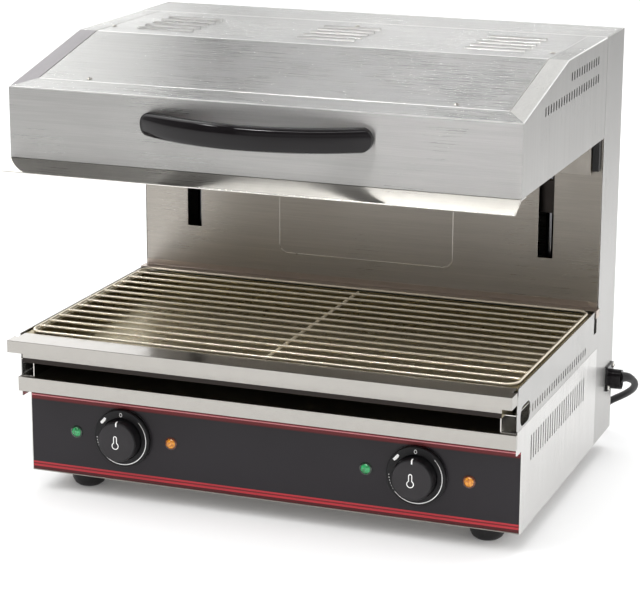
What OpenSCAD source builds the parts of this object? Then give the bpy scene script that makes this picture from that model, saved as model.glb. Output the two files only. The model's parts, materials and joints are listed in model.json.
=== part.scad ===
// Counter-top salamander grill with a hood that is lifted by hand, in millimetres.
// The origin is on the table, under the middle of the grill. +X is to the right,
// +Y to the back and +Z up. The hood is drawn in its raised position.

/* [Overall] */
// Width of the cabinet and of the hood
width = 600; // [560:5:680]
// Height from the table to the top of the column
height = 530; // [520:5:580]
// Thickness of the steel sheets
sheet = 1.2; // [0.8:0.1:1.4]
// Gap between neighbouring sheets of one casing
seam = 0.3; // [0.2:0.05:0.4]

/* [Cabinet] */
// Height of the fascia, from the floor sheet to the front rail
fascia_h = 105.9; // [95:1:120]
// Height of the front rail above the fascia
front_rail_h = 17.3; // [12:0.5:24]
// How far the front rail stands in front of the fascia
front_rail_out = 28.4; // [20:0.5:36]
// How far the side sheets stop behind the front rail
side_set_back = 7; // [4:0.5:12]
// How far the hood's front stands in front of the fascia
fascia_set_back = 29.4; // [24:0.5:40]
// Height of the step where the side sheets go back to the fascia, below the rail
side_step = 8; // [4:1:14]
// Height of the pan supports
runner_h = 21.7; // [18:0.5:28]
// Width of the pan supports
runner_w = 17.5; // [14:0.5:20]
// Height of the upper side sheets above the pan
side_over_pan = 2; // [1:0.25:4]

/* [Vents] */
// Distance between two vent slots
vent_pitch = 10; // [8:0.5:11]
// Width of a vent slot
vent_w = 4; // [3:0.5:5]
// Number of vent slots in each row of the cabinet's sides
vent_n = 24; // [10:1:26]
// Height of the slots in the lower side sheet
low_vent_h = 30; // [15:1:36]
// Height of the slots in the upper side sheet
high_vent_h = 10; // [6:1:14]
// Height of the slots in the hood's sides
hood_vent_h = 11; // [7:0.5:14]

/* [Column] */
// Depth of the column
column_depth = 82; // [74:1:110]
// Distance from the middle to each slot in the column's front
slot_x = 231.2; // [215:1:240]
// Width of the slots in the column's front
slot_w = 18.9; // [16:0.5:24]
// Free length of a slot beyond the arm, at each end of the travel
slot_spare = 5; // [3:0.5:8]
// Width of the pressed rectangle on the column's front
emboss_w = 228; // [120:2:340]
// Height of the pressed rectangle's bottom above the cabinet's top
emboss_up = 33; // [24:1:60]
// Depth of the pressed rectangle
emboss_d = 0.8; // [0.4:0.1:1]

/* [Lift] */
// Travel of the hood
travel = 150; // [100:5:155]
// Radius of the guide rods
rod_r = 6; // [4.5:0.25:7]
// Running clearance of the carriages on the rods, on the radius
rod_fit = 0.06; // [0.03:0.01:0.1]
// Height of the arms that carry the hood
arm_h = 70; // [50:1:76]
// Thickness of the arms
arm_t = 3; // [2:0.25:4]
// Length of the carriages
carriage_h = 172; // [150:1:180]
// Radius of the counterbalance springs, at the middle of the wire
spring_r = 7.5; // [6:0.25:8.5]
// Radius of the springs' wire
wire_r = 1.4; // [1:0.1:1.7]
// Number of turns of each spring
spring_turns = 16; // [10:1:20]

/* [Hood] */
// Depth of the hood
hood_depth = 357; // [330:1:400]
// Height of the hood
hood_h = 120; // [110:1:130]
// Height of the hood's upright front
hood_front_h = 81; // [60:1:96]
// Depth of the hood's sloping part
slope_depth = 179; // [120:1:220]
// Width of the border beside the louvred cover
border_w = 23; // [16:0.5:30]
// Width of the border in front of the louvred cover
border_front = 28; // [18:0.5:40]
// Width of the ledge under the cover's edges
ledge_w = 14; // [10:0.5:18]
// Gap between the cover and its border
cover_gap = 0.8; // [0.4:0.1:1.2]
// Length of a louvre
louvre_l = 72; // [40:1:90]
// Height of a louvre, from the sheet's underside
louvre_r = 3.6; // [2.6:0.1:5]
// Distance between two louvres
louvre_pitch = 22.7; // [14:0.1:25]
// Number of louvres in each group
louvre_n = 5; // [2:1:5]
// Distance between the groups of louvres
louvre_group = 204; // [120:1:210]
// How far the visor stands in front of the hood
visor_out = 24; // [12:1:30]
// How far the visor hangs below the hood
visor_down = 11.5; // [6:0.5:16]

/* [Handle] */
// Length of the handle, over its feet
handle_l = 280; // [200:2:340]
// Distance from the hood to the middle of the grip
handle_out = 41.5; // [34:0.5:50]
// Thickness of the grip
handle_t = 15; // [12:0.5:18]
// Height of the grip
handle_h = 29; // [20:0.5:34]
// Height of the handle's middle above the hood's bottom
handle_up = 52; // [36:1:60]

/* [Heater] */
// Radius of the heating tubes
tube_r = 4; // [3:0.25:5]
// Distance between two runs of a heating tube
tube_pitch = 60; // [40:1:64]
// Height of the heating tubes above the hood's bottom
tube_up = 22; // [12:1:30]
// Height of the reflector above the hood's bottom
reflector_up = 60; // [50:1:64]

/* [Pan and grid] */
// Height of the drip pan
pan_h = 26.7; // [20:0.5:34]
// Width of the pan's flange, at each side
pan_flange = 10; // [8:0.5:12]
// Travel of the drip pan
pan_travel = 220; // [120:5:260]
// How far the pan's rail stands in front of the front rail
pan_rail_out = 22.7; // [16:0.5:30]
// Height of the pan's rail
pan_rail_h = 13.4; // [10:0.2:18]
// Depth of the flat on top of the pan's rail
pan_rail_flat = 36; // [24:1:44]
// Radius of the grid's wires
grid_r = 2; // [1.5:0.1:2.5]
// Number of wires between the front and the back of the grid
grid_n = 12; // [6:1:15]
// Radius of the grid's corners
grid_corner = 15; // [8:1:24]
// How high the grid is lifted off the pan
grid_lift = 38; // [20:1:40]

/* [Controls] */
// Distance from the middle to each knob
knob_x = 180; // [170:1:200]
// Height of the knobs and lamps above the floor sheet
control_up = 54.1; // [40:1:60]
// Distance from each knob to its lamps
lamp_dx = 60.5; // [52:0.5:64]
// Radius of the scale rings round the knobs
ring_r = 35; // [30:0.5:38]
// Radius of the knobs' grips
grip_r = 24.5; // [18:0.5:27]
// Height of the knobs
knob_h = 17.5; // [15:0.5:28]
// Radius of the lamps' lenses
lens_r = 6.6; // [5:0.2:8]

/* [Feet] */
// Height of the feet
foot_h = 26.1; // [20:0.5:40]
// Radius of a foot at its top
foot_top_r = 21.5; // [17:0.5:26]
// Radius of a foot at its bottom
foot_low_r = 13.5; // [10:0.5:17]
// Distance from the cabinet's side to the middle of a foot
foot_in = 51; // [34:1:80]
// Distance from the fascia to the middle of a front foot
foot_back = 48; // [30:1:80]

/* [Cord] */
// Diameter of the power cord
cord_d = 9; // [7:0.5:10]
// Radius of the coil, at the middle of its turns
coil_r = 53; // [45:1:60]

/* [Hidden] */
$fn = 48;

steel = [0.74, 0.73, 0.72];
bright = [0.86, 0.85, 0.82];
dark_steel = [0.45, 0.44, 0.42];
black = [0.12, 0.12, 0.12];

// Depth: the handle is the foremost point and the column's back the rearmost one.
handle_reach = handle_out + handle_t / 2;
back_y = (column_depth + hood_depth + handle_reach) / 2;
column_y = back_y - column_depth;
hood_y = column_y - hood_depth;
fascia_y = hood_y + fascia_set_back;
rail_y = fascia_y - front_rail_out;
side_y = rail_y + side_set_back;
half = width / 2;
inner = half - sheet;
skin = inner - seam;

// Heights of the cabinet
floor_z = foot_h;
rail_z = floor_z + fascia_h;
cover_z = rail_z + front_rail_h;
split_z = cover_z + sheet;
runner_z = cover_z + runner_h;
pan_z = runner_z + seam;
flange_z = pan_z + pan_h;
deck_z = flange_z + side_over_pan;
column_z = cover_z + seam;

// Heights of the hood, raised
hood_z = height - hood_h;
hood_front_z = hood_z + hood_front_h;
slope_y = hood_y + slope_depth;
hood_back_y = column_y - 1.5;
slope_a = atan2(height - hood_front_z, slope_depth);
panel_y = column_y - 8 - sheet;
plate_t = 1.5;
plate_y = panel_y - plate_t;

// Lift mechanism
arm_z = hood_z + 2;
arm_x = slot_x + 6.8;
rod_y = column_y + 26;
block_d = 2 * rod_r + 12;
block_x = arm_x - 24;
block_h = 40;
carriage_z = arm_z + arm_h - carriage_h;
plate_w = 2.5;
bush_r = rod_r + 2;
upper_z = arm_z + arm_h + 23;
lower_z = carriage_z - travel - 20;
bracket_t = 3;
bracket_x = skin - sheet - seam;
bracket_front = column_y + sheet + 4;
bracket_back = rod_y + rod_r + 14;
spring_x = block_x - spring_r - wire_r - 2.5;
lug_t = 3;
lug_h = 14;
lug_hole_r = 2 * wire_r + 0.3;
hook_play = lug_hole_r - wire_r - 0.4;
upper_hook_z = upper_z - lug_h / 2 - hook_play;
lower_hook_z = carriage_z + block_h + lug_h / 2 + hook_play;
spring_z0 = lower_hook_z + spring_r;
spring_z1 = upper_hook_z - spring_r;

// Pan and grid
pan_half = half - sheet - 1.3 - pan_flange;
pan_y = rail_y - pan_rail_out + 10.7;
pan_back_y = column_y - 21;
pan_rail_y = rail_y - pan_rail_out;
grid_half = pan_half + pan_flange / 2 + 0.8;
grid_z = flange_z + seam + grid_r;
grid_y = pan_rail_y + pan_rail_flat + 6;
grid_back_y = column_y - 19;
grid_step = (grid_back_y - grid_y) / (grid_n + 1);
ledge_front = grid_back_y + grid_r + 1.5;
ledge_z = deck_z;

// Controls
control_z = floor_z + control_up;
spindle_r = 3;
spindle_fit = 0.05;
bush_out_r = 4.8;
nut_t = 2;
nut_r = 8;
ring_t = 6;
ring_gap = 1;
knob_y = fascia_y - nut_t - 0.6;

// Feet
foot_x = half - foot_in;
foot_front_y = fascia_y + foot_back;
foot_rear_y = back_y - foot_back;
foot_screw_r = 2.2;
foot_well_r = 6;
foot_well = 12;

// Cord: the gland is low on the column's right side, near the back.
gland_y = back_y - 16;
gland_z = 97.3;
gland_drop = 7.8;
gland_r = 8.7;
gland_x = half + 17;
// Places of the gland's screws, as [y, z]
gland_screw_at = [[gland_y - 12.5, gland_z - 11.8], [gland_y + 8.5, gland_z + 11.2]];
cord_r = cord_d / 2;

// The cord's route, from the gland to the coil behind the column
cord_path = [[315.2, 225.2, 97.3], [317.6, 228.2, 96.9], [322.4, 234.5, 95.3], [326, 243.5, 90.6],
    [327.3, 255, 82.3], [323.7, 267.3, 72.7], [315.5, 278.8, 63], [303.6, 289, 53.2],
    [289.2, 296.5, 43.3], [275.5, 300.5, 32.5], [261.5, 300.6, 21.3], [247.8, 297, 11.9],
    [235, 290.8, 6.3], [223, 283.2, 4.9], [211.3, 275.8, 4.9], [199.3, 270.5, 4.9],
    [189.8, 268.2, 4.9]];
// The cord's route, from the top of the coil to the plug
tail_path = [[180, 267.4, 14.2], [160, 267.8, 14.2], [141, 269, 13], [122, 272, 9.5],
    [104, 277, 6.4], [87, 283, 5.6], [73, 289, 8.2], [60, 293, 12]];
coil_x = 180;
coil_y = 330;
plug_at = [60, 293, 12];

// ---------------------------------------------------------------- shared shapes

// A box between two opposite corners
module block(a, b) {
    translate([min(a.x, b.x), min(a.y, b.y), min(a.z, b.z)])
        cube([abs(a.x - b.x), abs(a.y - b.y), abs(a.z - b.z)]);
}

// A cylinder along X, from x0 to x1
module bar_x(x0, x1, y, z, r) {
    translate([x0, y, z]) rotate([0, 90, 0]) cylinder(r = r, h = x1 - x0);
}

// A cylinder along Y, from y0 to y1
module bar_y(x, y0, y1, z, r) {
    translate([x, y0, z]) rotate([-90, 0, 0]) cylinder(r = r, h = y1 - y0);
}

// A cylinder along Z, from z0 to z1
module bar_z(x, y, z0, z1, r) {
    translate([x, y, z0]) cylinder(r = r, h = z1 - z0);
}

// A flat shape, drawn with Y across and Z up, made solid from x0 to x1
module from_side(x0, x1) {
    translate([x0, 0, 0]) rotate([90, 0, 90]) linear_extrude(x1 - x0) children();
}

// A flat shape, drawn with X across and Z up, made solid from y0 to y1
module from_front(y0, y1) {
    translate([0, y1, 0]) rotate([90, 0, 0]) linear_extrude(y1 - y0) children();
}

module pair() {
    children();
    mirror([1, 0, 0]) children();
}

// An upright slot with round ends
module slot_2d(y, z0, z1, w) {
    translate([y - w / 2, z0 + w / 2]) square([w, z1 - z0 - w]);
    translate([y, z0 + w / 2]) circle(r = w / 2, $fn = 16);
    translate([y, z1 - w / 2]) circle(r = w / 2, $fn = 16);
}

// A row of n upright slots that ends at y
module vents_2d(y, n, pitch, z0, h) {
    for (i = [0:n - 1])
        slot_2d(y - i * pitch, z0, z0 + h, vent_w);
}

// A rectangle with round corners
module round_2d(x0, z0, x1, z1, r) {
    translate([x0 + r, z0]) square([x1 - x0 - 2 * r, z1 - z0]);
    translate([x0, z0 + r]) square([x1 - x0, z1 - z0 - 2 * r]);
    for (x = [x0 + r, x1 - r], z = [z0 + r, z1 - r])
        translate([x, z]) circle(r = r, $fn = 24);
}

// A pan-head screw on the Z axis: its head stands on z = 0, its shank goes down
module screw(r, l) {
    translate([0, 0, -l]) cylinder(r = r, h = l, $fn = 16);
    cylinder(r = 2.1 * r, h = 0.5 * r, $fn = 20);
    translate([0, 0, 0.5 * r]) cylinder(r1 = 2.1 * r, r2 = 1.1 * r, h = 0.7 * r, $fn = 20);
}

// A tube of n sides swept along the points p. The list out gives a direction at
// each point that isn't along the tube, and keeps it from twisting.
function unit(v) = v / norm(v);
function heading(p, i) =
    i == 0 ? unit(p[1] - p[0]) :
    i == len(p) - 1 ? unit(p[i] - p[i - 1]) : unit(p[i + 1] - p[i - 1]);
function ring(c, t, out, r, n) =
    let (v = unit(cross(t, out)), u = cross(v, t))
    [for (k = [0:n - 1]) c + r * (cos(360 * k / n) * u + sin(360 * k / n) * v)];

module swept_tube(p, out, r, n) {
    m = len(p);
    points = [for (i = [0:m - 1]) each ring(p[i], heading(p, i), out[i], r, n)];
    sides = [for (i = [0:m - 2], k = [0:n - 1])
        let (a = i * n + k, b = i * n + (k + 1) % n)
        each [[a, b, b + n], [a, b + n, a + n]]];
    polyhedron(points, concat([[for (k = [n - 1:-1:0]) k]], sides,
        [[for (k = [0:n - 1]) (m - 1) * n + k]]), convexity = 6);
}

// ---------------------------------------------------------------- cabinet

module floor_pan() color(dark_steel) difference() {
    union() {
        block([-skin, fascia_y, floor_z], [skin, back_y - sheet - seam, floor_z + sheet]);
        pair() block([skin - sheet, fascia_y + 20, floor_z],
            [skin, back_y - 12, floor_z + 14]);
    }
    foot_holes(floor_z - 1, floor_z + sheet + 1);
}

module foot_holes(z0, z1) {
    for (x = [-foot_x, foot_x], y = [foot_front_y, foot_rear_y])
        bar_z(x, y, z0, z1, foot_screw_r + 0.1);
}

module lower_side_2d() {
    difference() {
        polygon([[fascia_y, floor_z], [fascia_y, rail_z - side_step],
            [side_y, rail_z - side_step], [side_y, split_z],
            [column_y, split_z], [column_y, floor_z]]);
        vents_2d(column_y - 61, vent_n, vent_pitch, floor_z + 74.9, low_vent_h);
    }
}

module lower_side_right() color(steel) from_side(inner, half) lower_side_2d();
module lower_side_left() color(steel) mirror([1, 0, 0]) from_side(inner, half) lower_side_2d();

module upper_side_2d() {
    difference() {
        polygon([[side_y, split_z + seam], [side_y, deck_z], [column_y, deck_z],
            [column_y, split_z + seam]]);
        vents_2d(column_y - 59, vent_n, vent_pitch, split_z + 6.5, high_vent_h);
        // Finger notch near the front, and a narrow slot near the column
        round_2d(side_y + 10, split_z + seam + 2, side_y + 50, split_z + 25, 11);
        round_2d(column_y - 19, deck_z - 28, column_y - 6, deck_z - 3, 2);
    }
}

module upper_side_right() color(steel) from_side(inner, half) upper_side_2d();
module upper_side_left() color(steel) mirror([1, 0, 0]) from_side(inner, half) upper_side_2d();

module control_fascia() color([0.16, 0.15, 0.16]) difference() {
    union() {
        block([-skin, fascia_y, floor_z + sheet + seam], [skin, fascia_y + sheet, rail_z - seam]);
        for (z = [floor_z + sheet + seam, rail_z - seam - sheet])
            block([-skin, fascia_y, z], [skin, fascia_y + 14, z + sheet]);
        // Fixed rings with the knobs' scales
        for (s = [-1, 1])
            translate([s * knob_x, fascia_y, control_z]) rotate([90, 0, 0]) {
                translate([0, 0, -sheet / 2]) cylinder(r = ring_r, h = ring_t - 1 + sheet / 2);
                translate([0, 0, ring_t - 1]) cylinder(r1 = ring_r, r2 = ring_r - 1, h = 1);
            }
    }
    for (s = [-1, 1]) {
        bar_y(s * knob_x, fascia_y - ring_t - 1, fascia_y, control_z, grip_r + ring_gap);
        bar_y(s * knob_x, fascia_y - 1, fascia_y + sheet + 1, control_z, bush_out_r + 0.2);
        for (d = [-lamp_dx, lamp_dx])
            bar_y(s * knob_x + d, fascia_y - 1, fascia_y + sheet + 1, control_z, lens_r - 1.6);
    }
}

module front_rail() color(bright) {
    block([-half - 0.5, rail_y, rail_z], [half + 0.5, rail_y + sheet, cover_z]);
    block([-skin, rail_y, rail_z], [skin, fascia_y + sheet, rail_z + sheet]);
    pair() block([half + 0.5 - sheet, rail_y, rail_z], [half + 0.5, side_y - 1, cover_z]);
}

module base_cover() color(dark_steel) {
    block([-skin, rail_y + sheet, cover_z - sheet], [skin, column_y - seam, cover_z]);
    block([-skin, column_y - seam - sheet, cover_z - 12], [skin, column_y - seam, cover_z]);
}

// A channel that is open towards the side sheet it is welded to
module runner_right() color(bright) {
    x0 = inner - runner_w;
    y0 = side_y - 3;
    y1 = column_y - 22;
    block([x0, y0, cover_z], [x0 + sheet, y1, runner_z]);
    block([x0, y0, cover_z], [inner, y1, cover_z + sheet]);
    block([x0, y0, runner_z - sheet], [inner, y1, runner_z]);
}

module runner_left() mirror([1, 0, 0]) runner_right();

module rear_ledge() color([0.36, 0.32, 0.28]) {
    block([-half - 0.5, ledge_front, ledge_z], [half + 0.5, column_y, ledge_z + sheet]);
    block([-skin, column_y - sheet, ledge_z], [skin, column_y, ledge_z + 8]);
    pair() block([half + 0.3, ledge_front, ledge_z - 9], [half + 0.3 + sheet, column_y, ledge_z + sheet]);
}

// ---------------------------------------------------------------- column

module column_front() color(steel) {
    emboss_z = deck_z + emboss_up;
    slot_z0 = arm_z - travel - slot_spare;
    slot_z1 = arm_z + arm_h + slot_spare;
    difference() {
        union() {
            block([-skin, column_y, column_z], [skin, column_y + sheet, height - sheet - seam]);
            pair() block([skin - sheet, column_y, column_z],
                [skin, column_y + 14, height - sheet - seam]);
            from_front(column_y - emboss_d, column_y)
                round_2d(-emboss_w / 2, emboss_z, emboss_w / 2, hood_z + 60, 12);
        }
        pair() block([slot_x - slot_w / 2, column_y - 1, slot_z0],
            [slot_x + slot_w / 2, column_y + sheet + 1, slot_z1]);
        from_front(column_y, column_y + sheet + 1)
            round_2d(-emboss_w / 2 + 1, emboss_z + 1, emboss_w / 2 - 1, hood_z + 59, 11);
    }
}

module column_side(hole) difference() {
    union() {
        block([inner, column_y + seam, floor_z], [half, back_y, height]);
        block([inner - 12, back_y - 2 * sheet - seam, floor_z + 20],
            [half, back_y - sheet - seam, height - 20]);
    }
    if (hole)
        bar_x(inner - 1, half + 1, gland_y, gland_z, 9);
}

module column_side_right() color(steel) column_side(true);
module column_side_left() color(steel) mirror([1, 0, 0]) column_side(false);

module column_top() color(bright) {
    block([-skin, column_y + seam, height - sheet], [skin, back_y - sheet - seam, height]);
    block([-skin, column_y + 16, height - 14], [skin, column_y + 16 + sheet, height]);
}

// Places of the back cover's screws, as [x, z]
back_screw_at = [for (x = [-half + 8, half - 8], z = [floor_z + 26, hood_z / 2 + 20, hood_z, height - 26])
    [x, z]];

module back_cover() color(steel) difference() {
    block([-skin, back_y - sheet, floor_z + sheet + seam], [skin, back_y, height - sheet - seam]);
    from_front(back_y - sheet - 1, back_y + 1)
        for (s = [-1, 1], z = [floor_z + 60, height - 90])
            vents_2d(s * half * 0.45 + 5.5 * vent_pitch, 12, vent_pitch, z, low_vent_h);
    for (p = back_screw_at)
        bar_y(p.x, back_y - sheet - 1, back_y + 1, p.y, 1.7);
}

// The screws of the back cover, of the feet and of the cord gland
module cabinet_screws() color(bright) {
    for (p = back_screw_at)
        translate([p.x, back_y, p.y]) rotate([-90, 0, 0]) screw(1.5, sheet + 0.2);
    for (x = [-foot_x, foot_x], y = [foot_front_y, foot_rear_y])
        translate([x, y, foot_well]) rotate([180, 0, 0]) screw(foot_screw_r - 0.1,
            floor_z + 6 - foot_well);
    for (p = gland_screw_at)
        translate([half + 3, p.x, p.y]) rotate([0, 90, 0]) screw(1.6, 2.7);
}

// ---------------------------------------------------------------- lift

// A cross channel that holds both guide rods
module rod_bracket(z) {
    difference() {
        union() {
            block([-bracket_x, bracket_front, z], [bracket_x, bracket_back, z + bracket_t]);
            block([-bracket_x, bracket_front, z], [bracket_x, bracket_front + bracket_t, z + 16]);
            block([-bracket_x, bracket_back - bracket_t, z], [bracket_x, bracket_back, z + 16]);
        }
        pair() bar_z(slot_x, rod_y, z - 1, z + bracket_t + 1, rod_r + rod_fit);
    }
}

// A lug with a hole along X, for a spring's hook
module lug(z0, hole_z) difference() {
    block([spring_x - lug_t / 2, rod_y - 6, z0], [spring_x + lug_t / 2, rod_y + 6, z0 + lug_h]);
    bar_x(spring_x - lug_t, spring_x + lug_t, rod_y, hole_z, lug_hole_r);
}

module rod_bracket_upper() color(dark_steel) {
    rod_bracket(upper_z);
    pair() lug(upper_z - lug_h, upper_z - lug_h / 2);
}

module rod_bracket_lower() color(dark_steel) rod_bracket(lower_z - bracket_t);

module guide_rod_right() color([0.85, 0.85, 0.87]) difference() {
    bar_z(slot_x, rod_y, lower_z - bracket_t - 6, upper_z + bracket_t + 6, rod_r);
    // Grooves for the clips that hold the rod in its brackets
    for (z = [lower_z - bracket_t - 3.6, upper_z + bracket_t + 2.4])
        translate([slot_x, rod_y, z]) difference() {
            cylinder(r = rod_r + 1, h = 1.2);
            translate([0, 0, -1]) cylinder(r = rod_r - 1, h = 4);
        }
}

module guide_rod_left() mirror([1, 0, 0]) guide_rod_right();

// A coiled wire with a half loop at each end, which hooks into a lug. The steps of
// the lower loop, the turns and the upper loop are counted on from each other.
loop_n = 8;
turn_n = 10;
coil_n = spring_turns * turn_n;
function wire_out(i) =
    i < loop_n ? [cos(180 - 180 * i / loop_n), 0, -sin(180 - 180 * i / loop_n)] :
    i <= loop_n + coil_n ? [cos(360 * (i - loop_n) / turn_n), sin(360 * (i - loop_n) / turn_n), 0] :
    let (a = 180 * (i - loop_n - coil_n) / loop_n) [cos(a), 0, sin(a)];
function wire_z(i) =
    spring_z0 + (spring_z1 - spring_z0) * min(1, max(0, (i - loop_n) / coil_n));

module spring_right() color([0.6, 0.6, 0.62]) translate([spring_x, rod_y, 0]) {
    out = [for (i = [0:2 * loop_n + coil_n]) wire_out(i)];
    swept_tube([for (i = [0:2 * loop_n + coil_n]) spring_r * out[i] + [0, 0, wire_z(i)]],
        out, wire_r, 6);
}

module spring_left() mirror([1, 0, 0]) spring_right();

module carriage_right() color(bright) {
    difference() {
        union() {
            block([arm_x, column_y + sheet + 2, carriage_z],
                [arm_x + plate_w, rod_y + block_d / 2, carriage_z + carriage_h]);
            for (z = [carriage_z, carriage_z + carriage_h - block_h])
                block([block_x, rod_y - block_d / 2, z], [arm_x + plate_w, rod_y + block_d / 2, z + block_h]);
            block([spring_x - 5, rod_y - block_d / 2, carriage_z],
                [block_x + 1, rod_y + block_d / 2, carriage_z + block_h]);
        }
        bar_z(slot_x, rod_y, carriage_z - 1, carriage_z + carriage_h + 1, bush_r);
    }
    lug(carriage_z + block_h, carriage_z + block_h + lug_h / 2);
}

module carriage_left() mirror([1, 0, 0]) carriage_right();

// Bronze bushes, two in each carriage
module bearing_bushes() color([0.72, 0.52, 0.26])
    pair() for (z = [carriage_z, carriage_z + carriage_h - block_h])
        difference() {
            bar_z(slot_x, rod_y, z, z + block_h, bush_r);
            bar_z(slot_x, rod_y, z - 1, z + block_h + 1, rod_r + rod_fit);
        }

// The arm goes through the column's slot. Its plate is fixed to the hood's rear
// panel, and its tail hangs below the hood.
module lift_arm_right() color(bright) {
    tail_x = slot_x + 15.8;
    block([arm_x - arm_t, plate_y, arm_z], [arm_x, rod_y - block_d / 2 - 0.5, arm_z + arm_h]);
    block([arm_x - arm_t, plate_y, arm_z], [half - 13, panel_y, arm_z + arm_h]);
    block([tail_x, plate_y, hood_z - 45], [half - 13, panel_y, arm_z + 1]);
}

module lift_arm_left() mirror([1, 0, 0]) lift_arm_right();

module glide_pads() color(black)
    pair() block([half - 12, panel_y + sheet, hood_z - 40], [half - 4, column_y - 0.4, hood_z + 30]);

// ---------------------------------------------------------------- hood

// The hood's outline from the side, with its front, slope and top moved in by d
// and its bottom and back moved out by e
function hood_outline(d, e) = [
    [hood_y + d, hood_z - e],
    [hood_y + d, hood_front_z + d * tan(slope_a) - d / cos(slope_a)],
    [slope_y + d * tan(slope_a / 2), height - d],
    [hood_back_y + e, height - d],
    [hood_back_y + e, hood_z - e]];

// The sheet between two depths below the hood's front, slope and top
module hood_skin(d0, d1, x) difference() {
    from_side(-x, x) polygon(hood_outline(d0, 0));
    from_side(-x - 1, x + 1) polygon(hood_outline(d1, 1));
}

// The opening for the louvred cover, smaller by d all round
module cover_window(d) {
    y0 = hood_y + border_front + d;
    block([-half + border_w + d, y0, hood_front_z], [half - border_w - d, hood_back_y + 1, height + 9]);
}

cover_screw_at = [[-half + 29, slope_y + 37], [half - 29, slope_y + 37], [0, panel_y - 24]];
slope_screw_x = 216;
slope_screw_y = hood_y + border_front + 7;
function slope_z(y) = height - (slope_y - y) * tan(slope_a);

module screw_places(at_slope = true) {
    for (p = cover_screw_at)
        translate([p.x, p.y, height]) children();
    if (at_slope)
        for (x = [-slope_screw_x, slope_screw_x])
            translate([x, slope_screw_y, slope_z(slope_screw_y)]) rotate([slope_a, 0, 0]) children();
}

module screw_hole(r) translate([0, 0, -8]) cylinder(r = r, h = 9, $fn = 20);

module hood_side_2d() difference() {
    polygon(hood_outline(0, 0));
    vents_2d(hood_back_y - 41, 12, vent_pitch + 0.9, height - 27, hood_vent_h);
    vents_2d(hood_back_y - 40, 22, vent_pitch + 0.9, height - 48, hood_vent_h);
}

module hood_shell() color(steel) difference() {
    union() {
        difference() {
            hood_skin(0, sheet, half);
            cover_window(0);
        }
        // Ledge under the cover's edges
        difference() {
            hood_skin(sheet, 2 * sheet, inner);
            cover_window(ledge_w);
            block([-half, hood_y - 1, hood_z - 1], [half, hood_y + border_front - 6, height]);
        }
        pair() from_side(inner, half) hood_side_2d();
        pair() block([inner - 22, hood_y, hood_z], [half, plate_y - seam, hood_z + sheet]);
        block([-half, hood_y, hood_z], [half, hood_y + 22, hood_z + sheet]);
    }
    screw_places() screw_hole(1.7);
    for (x = [-1, 1])
        bar_y(x * handle_screw_x, hood_y - 1, hood_y + sheet + 1, hood_z + handle_up, 3.1);
    // Room for the rear panel
    block([-inner, panel_y - seam, hood_z - 1], [inner, hood_back_y + 1, height - sheet]);
}

// One pressed louvre, open towards the back, at the sheet's underside
module louvre(x, y) translate([x - louvre_l / 2, y, height - sheet]) {
    rotate([90, 0, 90]) linear_extrude(louvre_l) difference() {
        louvre_2d(louvre_r);
        louvre_2d(louvre_r - sheet * 0.7);
        translate([-2 * louvre_r, -2]) square([2 * louvre_r, 2]);
    }
    for (u = [0, louvre_l - sheet])
        translate([u, 0, 0]) rotate([90, 0, 90]) linear_extrude(sheet) louvre_2d(louvre_r);
}

module louvre_2d(r) intersection() {
    circle(r = r, $fn = 32);
    translate([-r, 0]) square([r, r]);
}

module all_louvres() {
    for (x = [-louvre_group, 0, louvre_group], i = [0:louvre_n - 1])
        translate([x, slope_y + 37 + i * louvre_pitch, 0]) children();
}

module hood_cover() color(bright) {
    difference() {
        intersection() {
            hood_skin(0, sheet, half);
            cover_window(cover_gap);
        }
        all_louvres() block([-louvre_l / 2 + sheet, -louvre_r + sheet * 0.7, height - sheet - 1],
            [louvre_l / 2 - sheet, 0, height + 1]);
        screw_places() screw_hole(1.7);
    }
    all_louvres() louvre(0, 0);
}

module hood_rear_panel() color(steel) difference() {
    union() {
        block([-skin, panel_y, hood_z], [skin, panel_y + sheet, height - sheet - seam]);
        // Flange under the louvred cover
        block([-half + border_w + ledge_w + 1, panel_y - 34, height - 2 * sheet],
            [half - border_w - ledge_w - 1, panel_y + sheet, height - sheet]);
    }
    pair() block([arm_x - arm_t - 0.5, panel_y - 1, hood_z - 1],
        [arm_x + 0.5, panel_y + sheet + 1, arm_z + arm_h + 0.5]);
    screw_places(false) screw_hole(1.7);
}

module hood_visor() color(bright) {
    t = sheet;
    from_side(-half, half) polygon([[hood_y + 18, hood_z - seam], [hood_y, hood_z - seam],
        [hood_y - visor_out, hood_z - visor_down], [hood_y - visor_out, hood_z - visor_down - t],
        [hood_y, hood_z - seam - t], [hood_y + 18, hood_z - seam - t]]);
}

// Arc of the grip, in plan: it meets the hood at the handle's feet
handle_r = (pow(handle_l / 2 - 8, 2) + pow(handle_out, 2)) / (2 * handle_out);
handle_a = asin((handle_l / 2 - 8) / handle_r);
handle_screw_x = handle_l / 2 - 16;

module hood_handle() color(black) translate([0, hood_y, hood_z + handle_up]) difference() {
    union() {
        intersection() {
            translate([0, handle_r - handle_out, 0]) rotate([0, 0, -90 - handle_a])
                rotate_extrude(angle = 2 * handle_a, $fn = 128) translate([handle_r, 0])
                    round_2d(-handle_t / 2, -handle_h / 2, handle_t / 2, handle_h / 2, handle_t / 2 - 0.5);
            block([-handle_l, -2 * handle_reach, -handle_h], [handle_l, 0, handle_h]);
        }
        for (x = [-handle_screw_x, handle_screw_x])
            bar_y(x, -handle_t, 0, 0, handle_h / 2 + 1.5);
    }
    for (x = [-handle_screw_x, handle_screw_x])
        bar_y(x, -handle_t + 4, 1, 0, 2.6);
}

// The screws of the louvred cover and of the handle
module hood_screws() color(bright) {
    screw_places() screw(1.5, 2.4);
    for (x = [-handle_screw_x, handle_screw_x])
        translate([x, hood_y + sheet, hood_z + handle_up]) rotate([-90, 0, 0])
            screw(2.5, handle_t - 5);
}

// ---------------------------------------------------------------- heater

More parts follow.
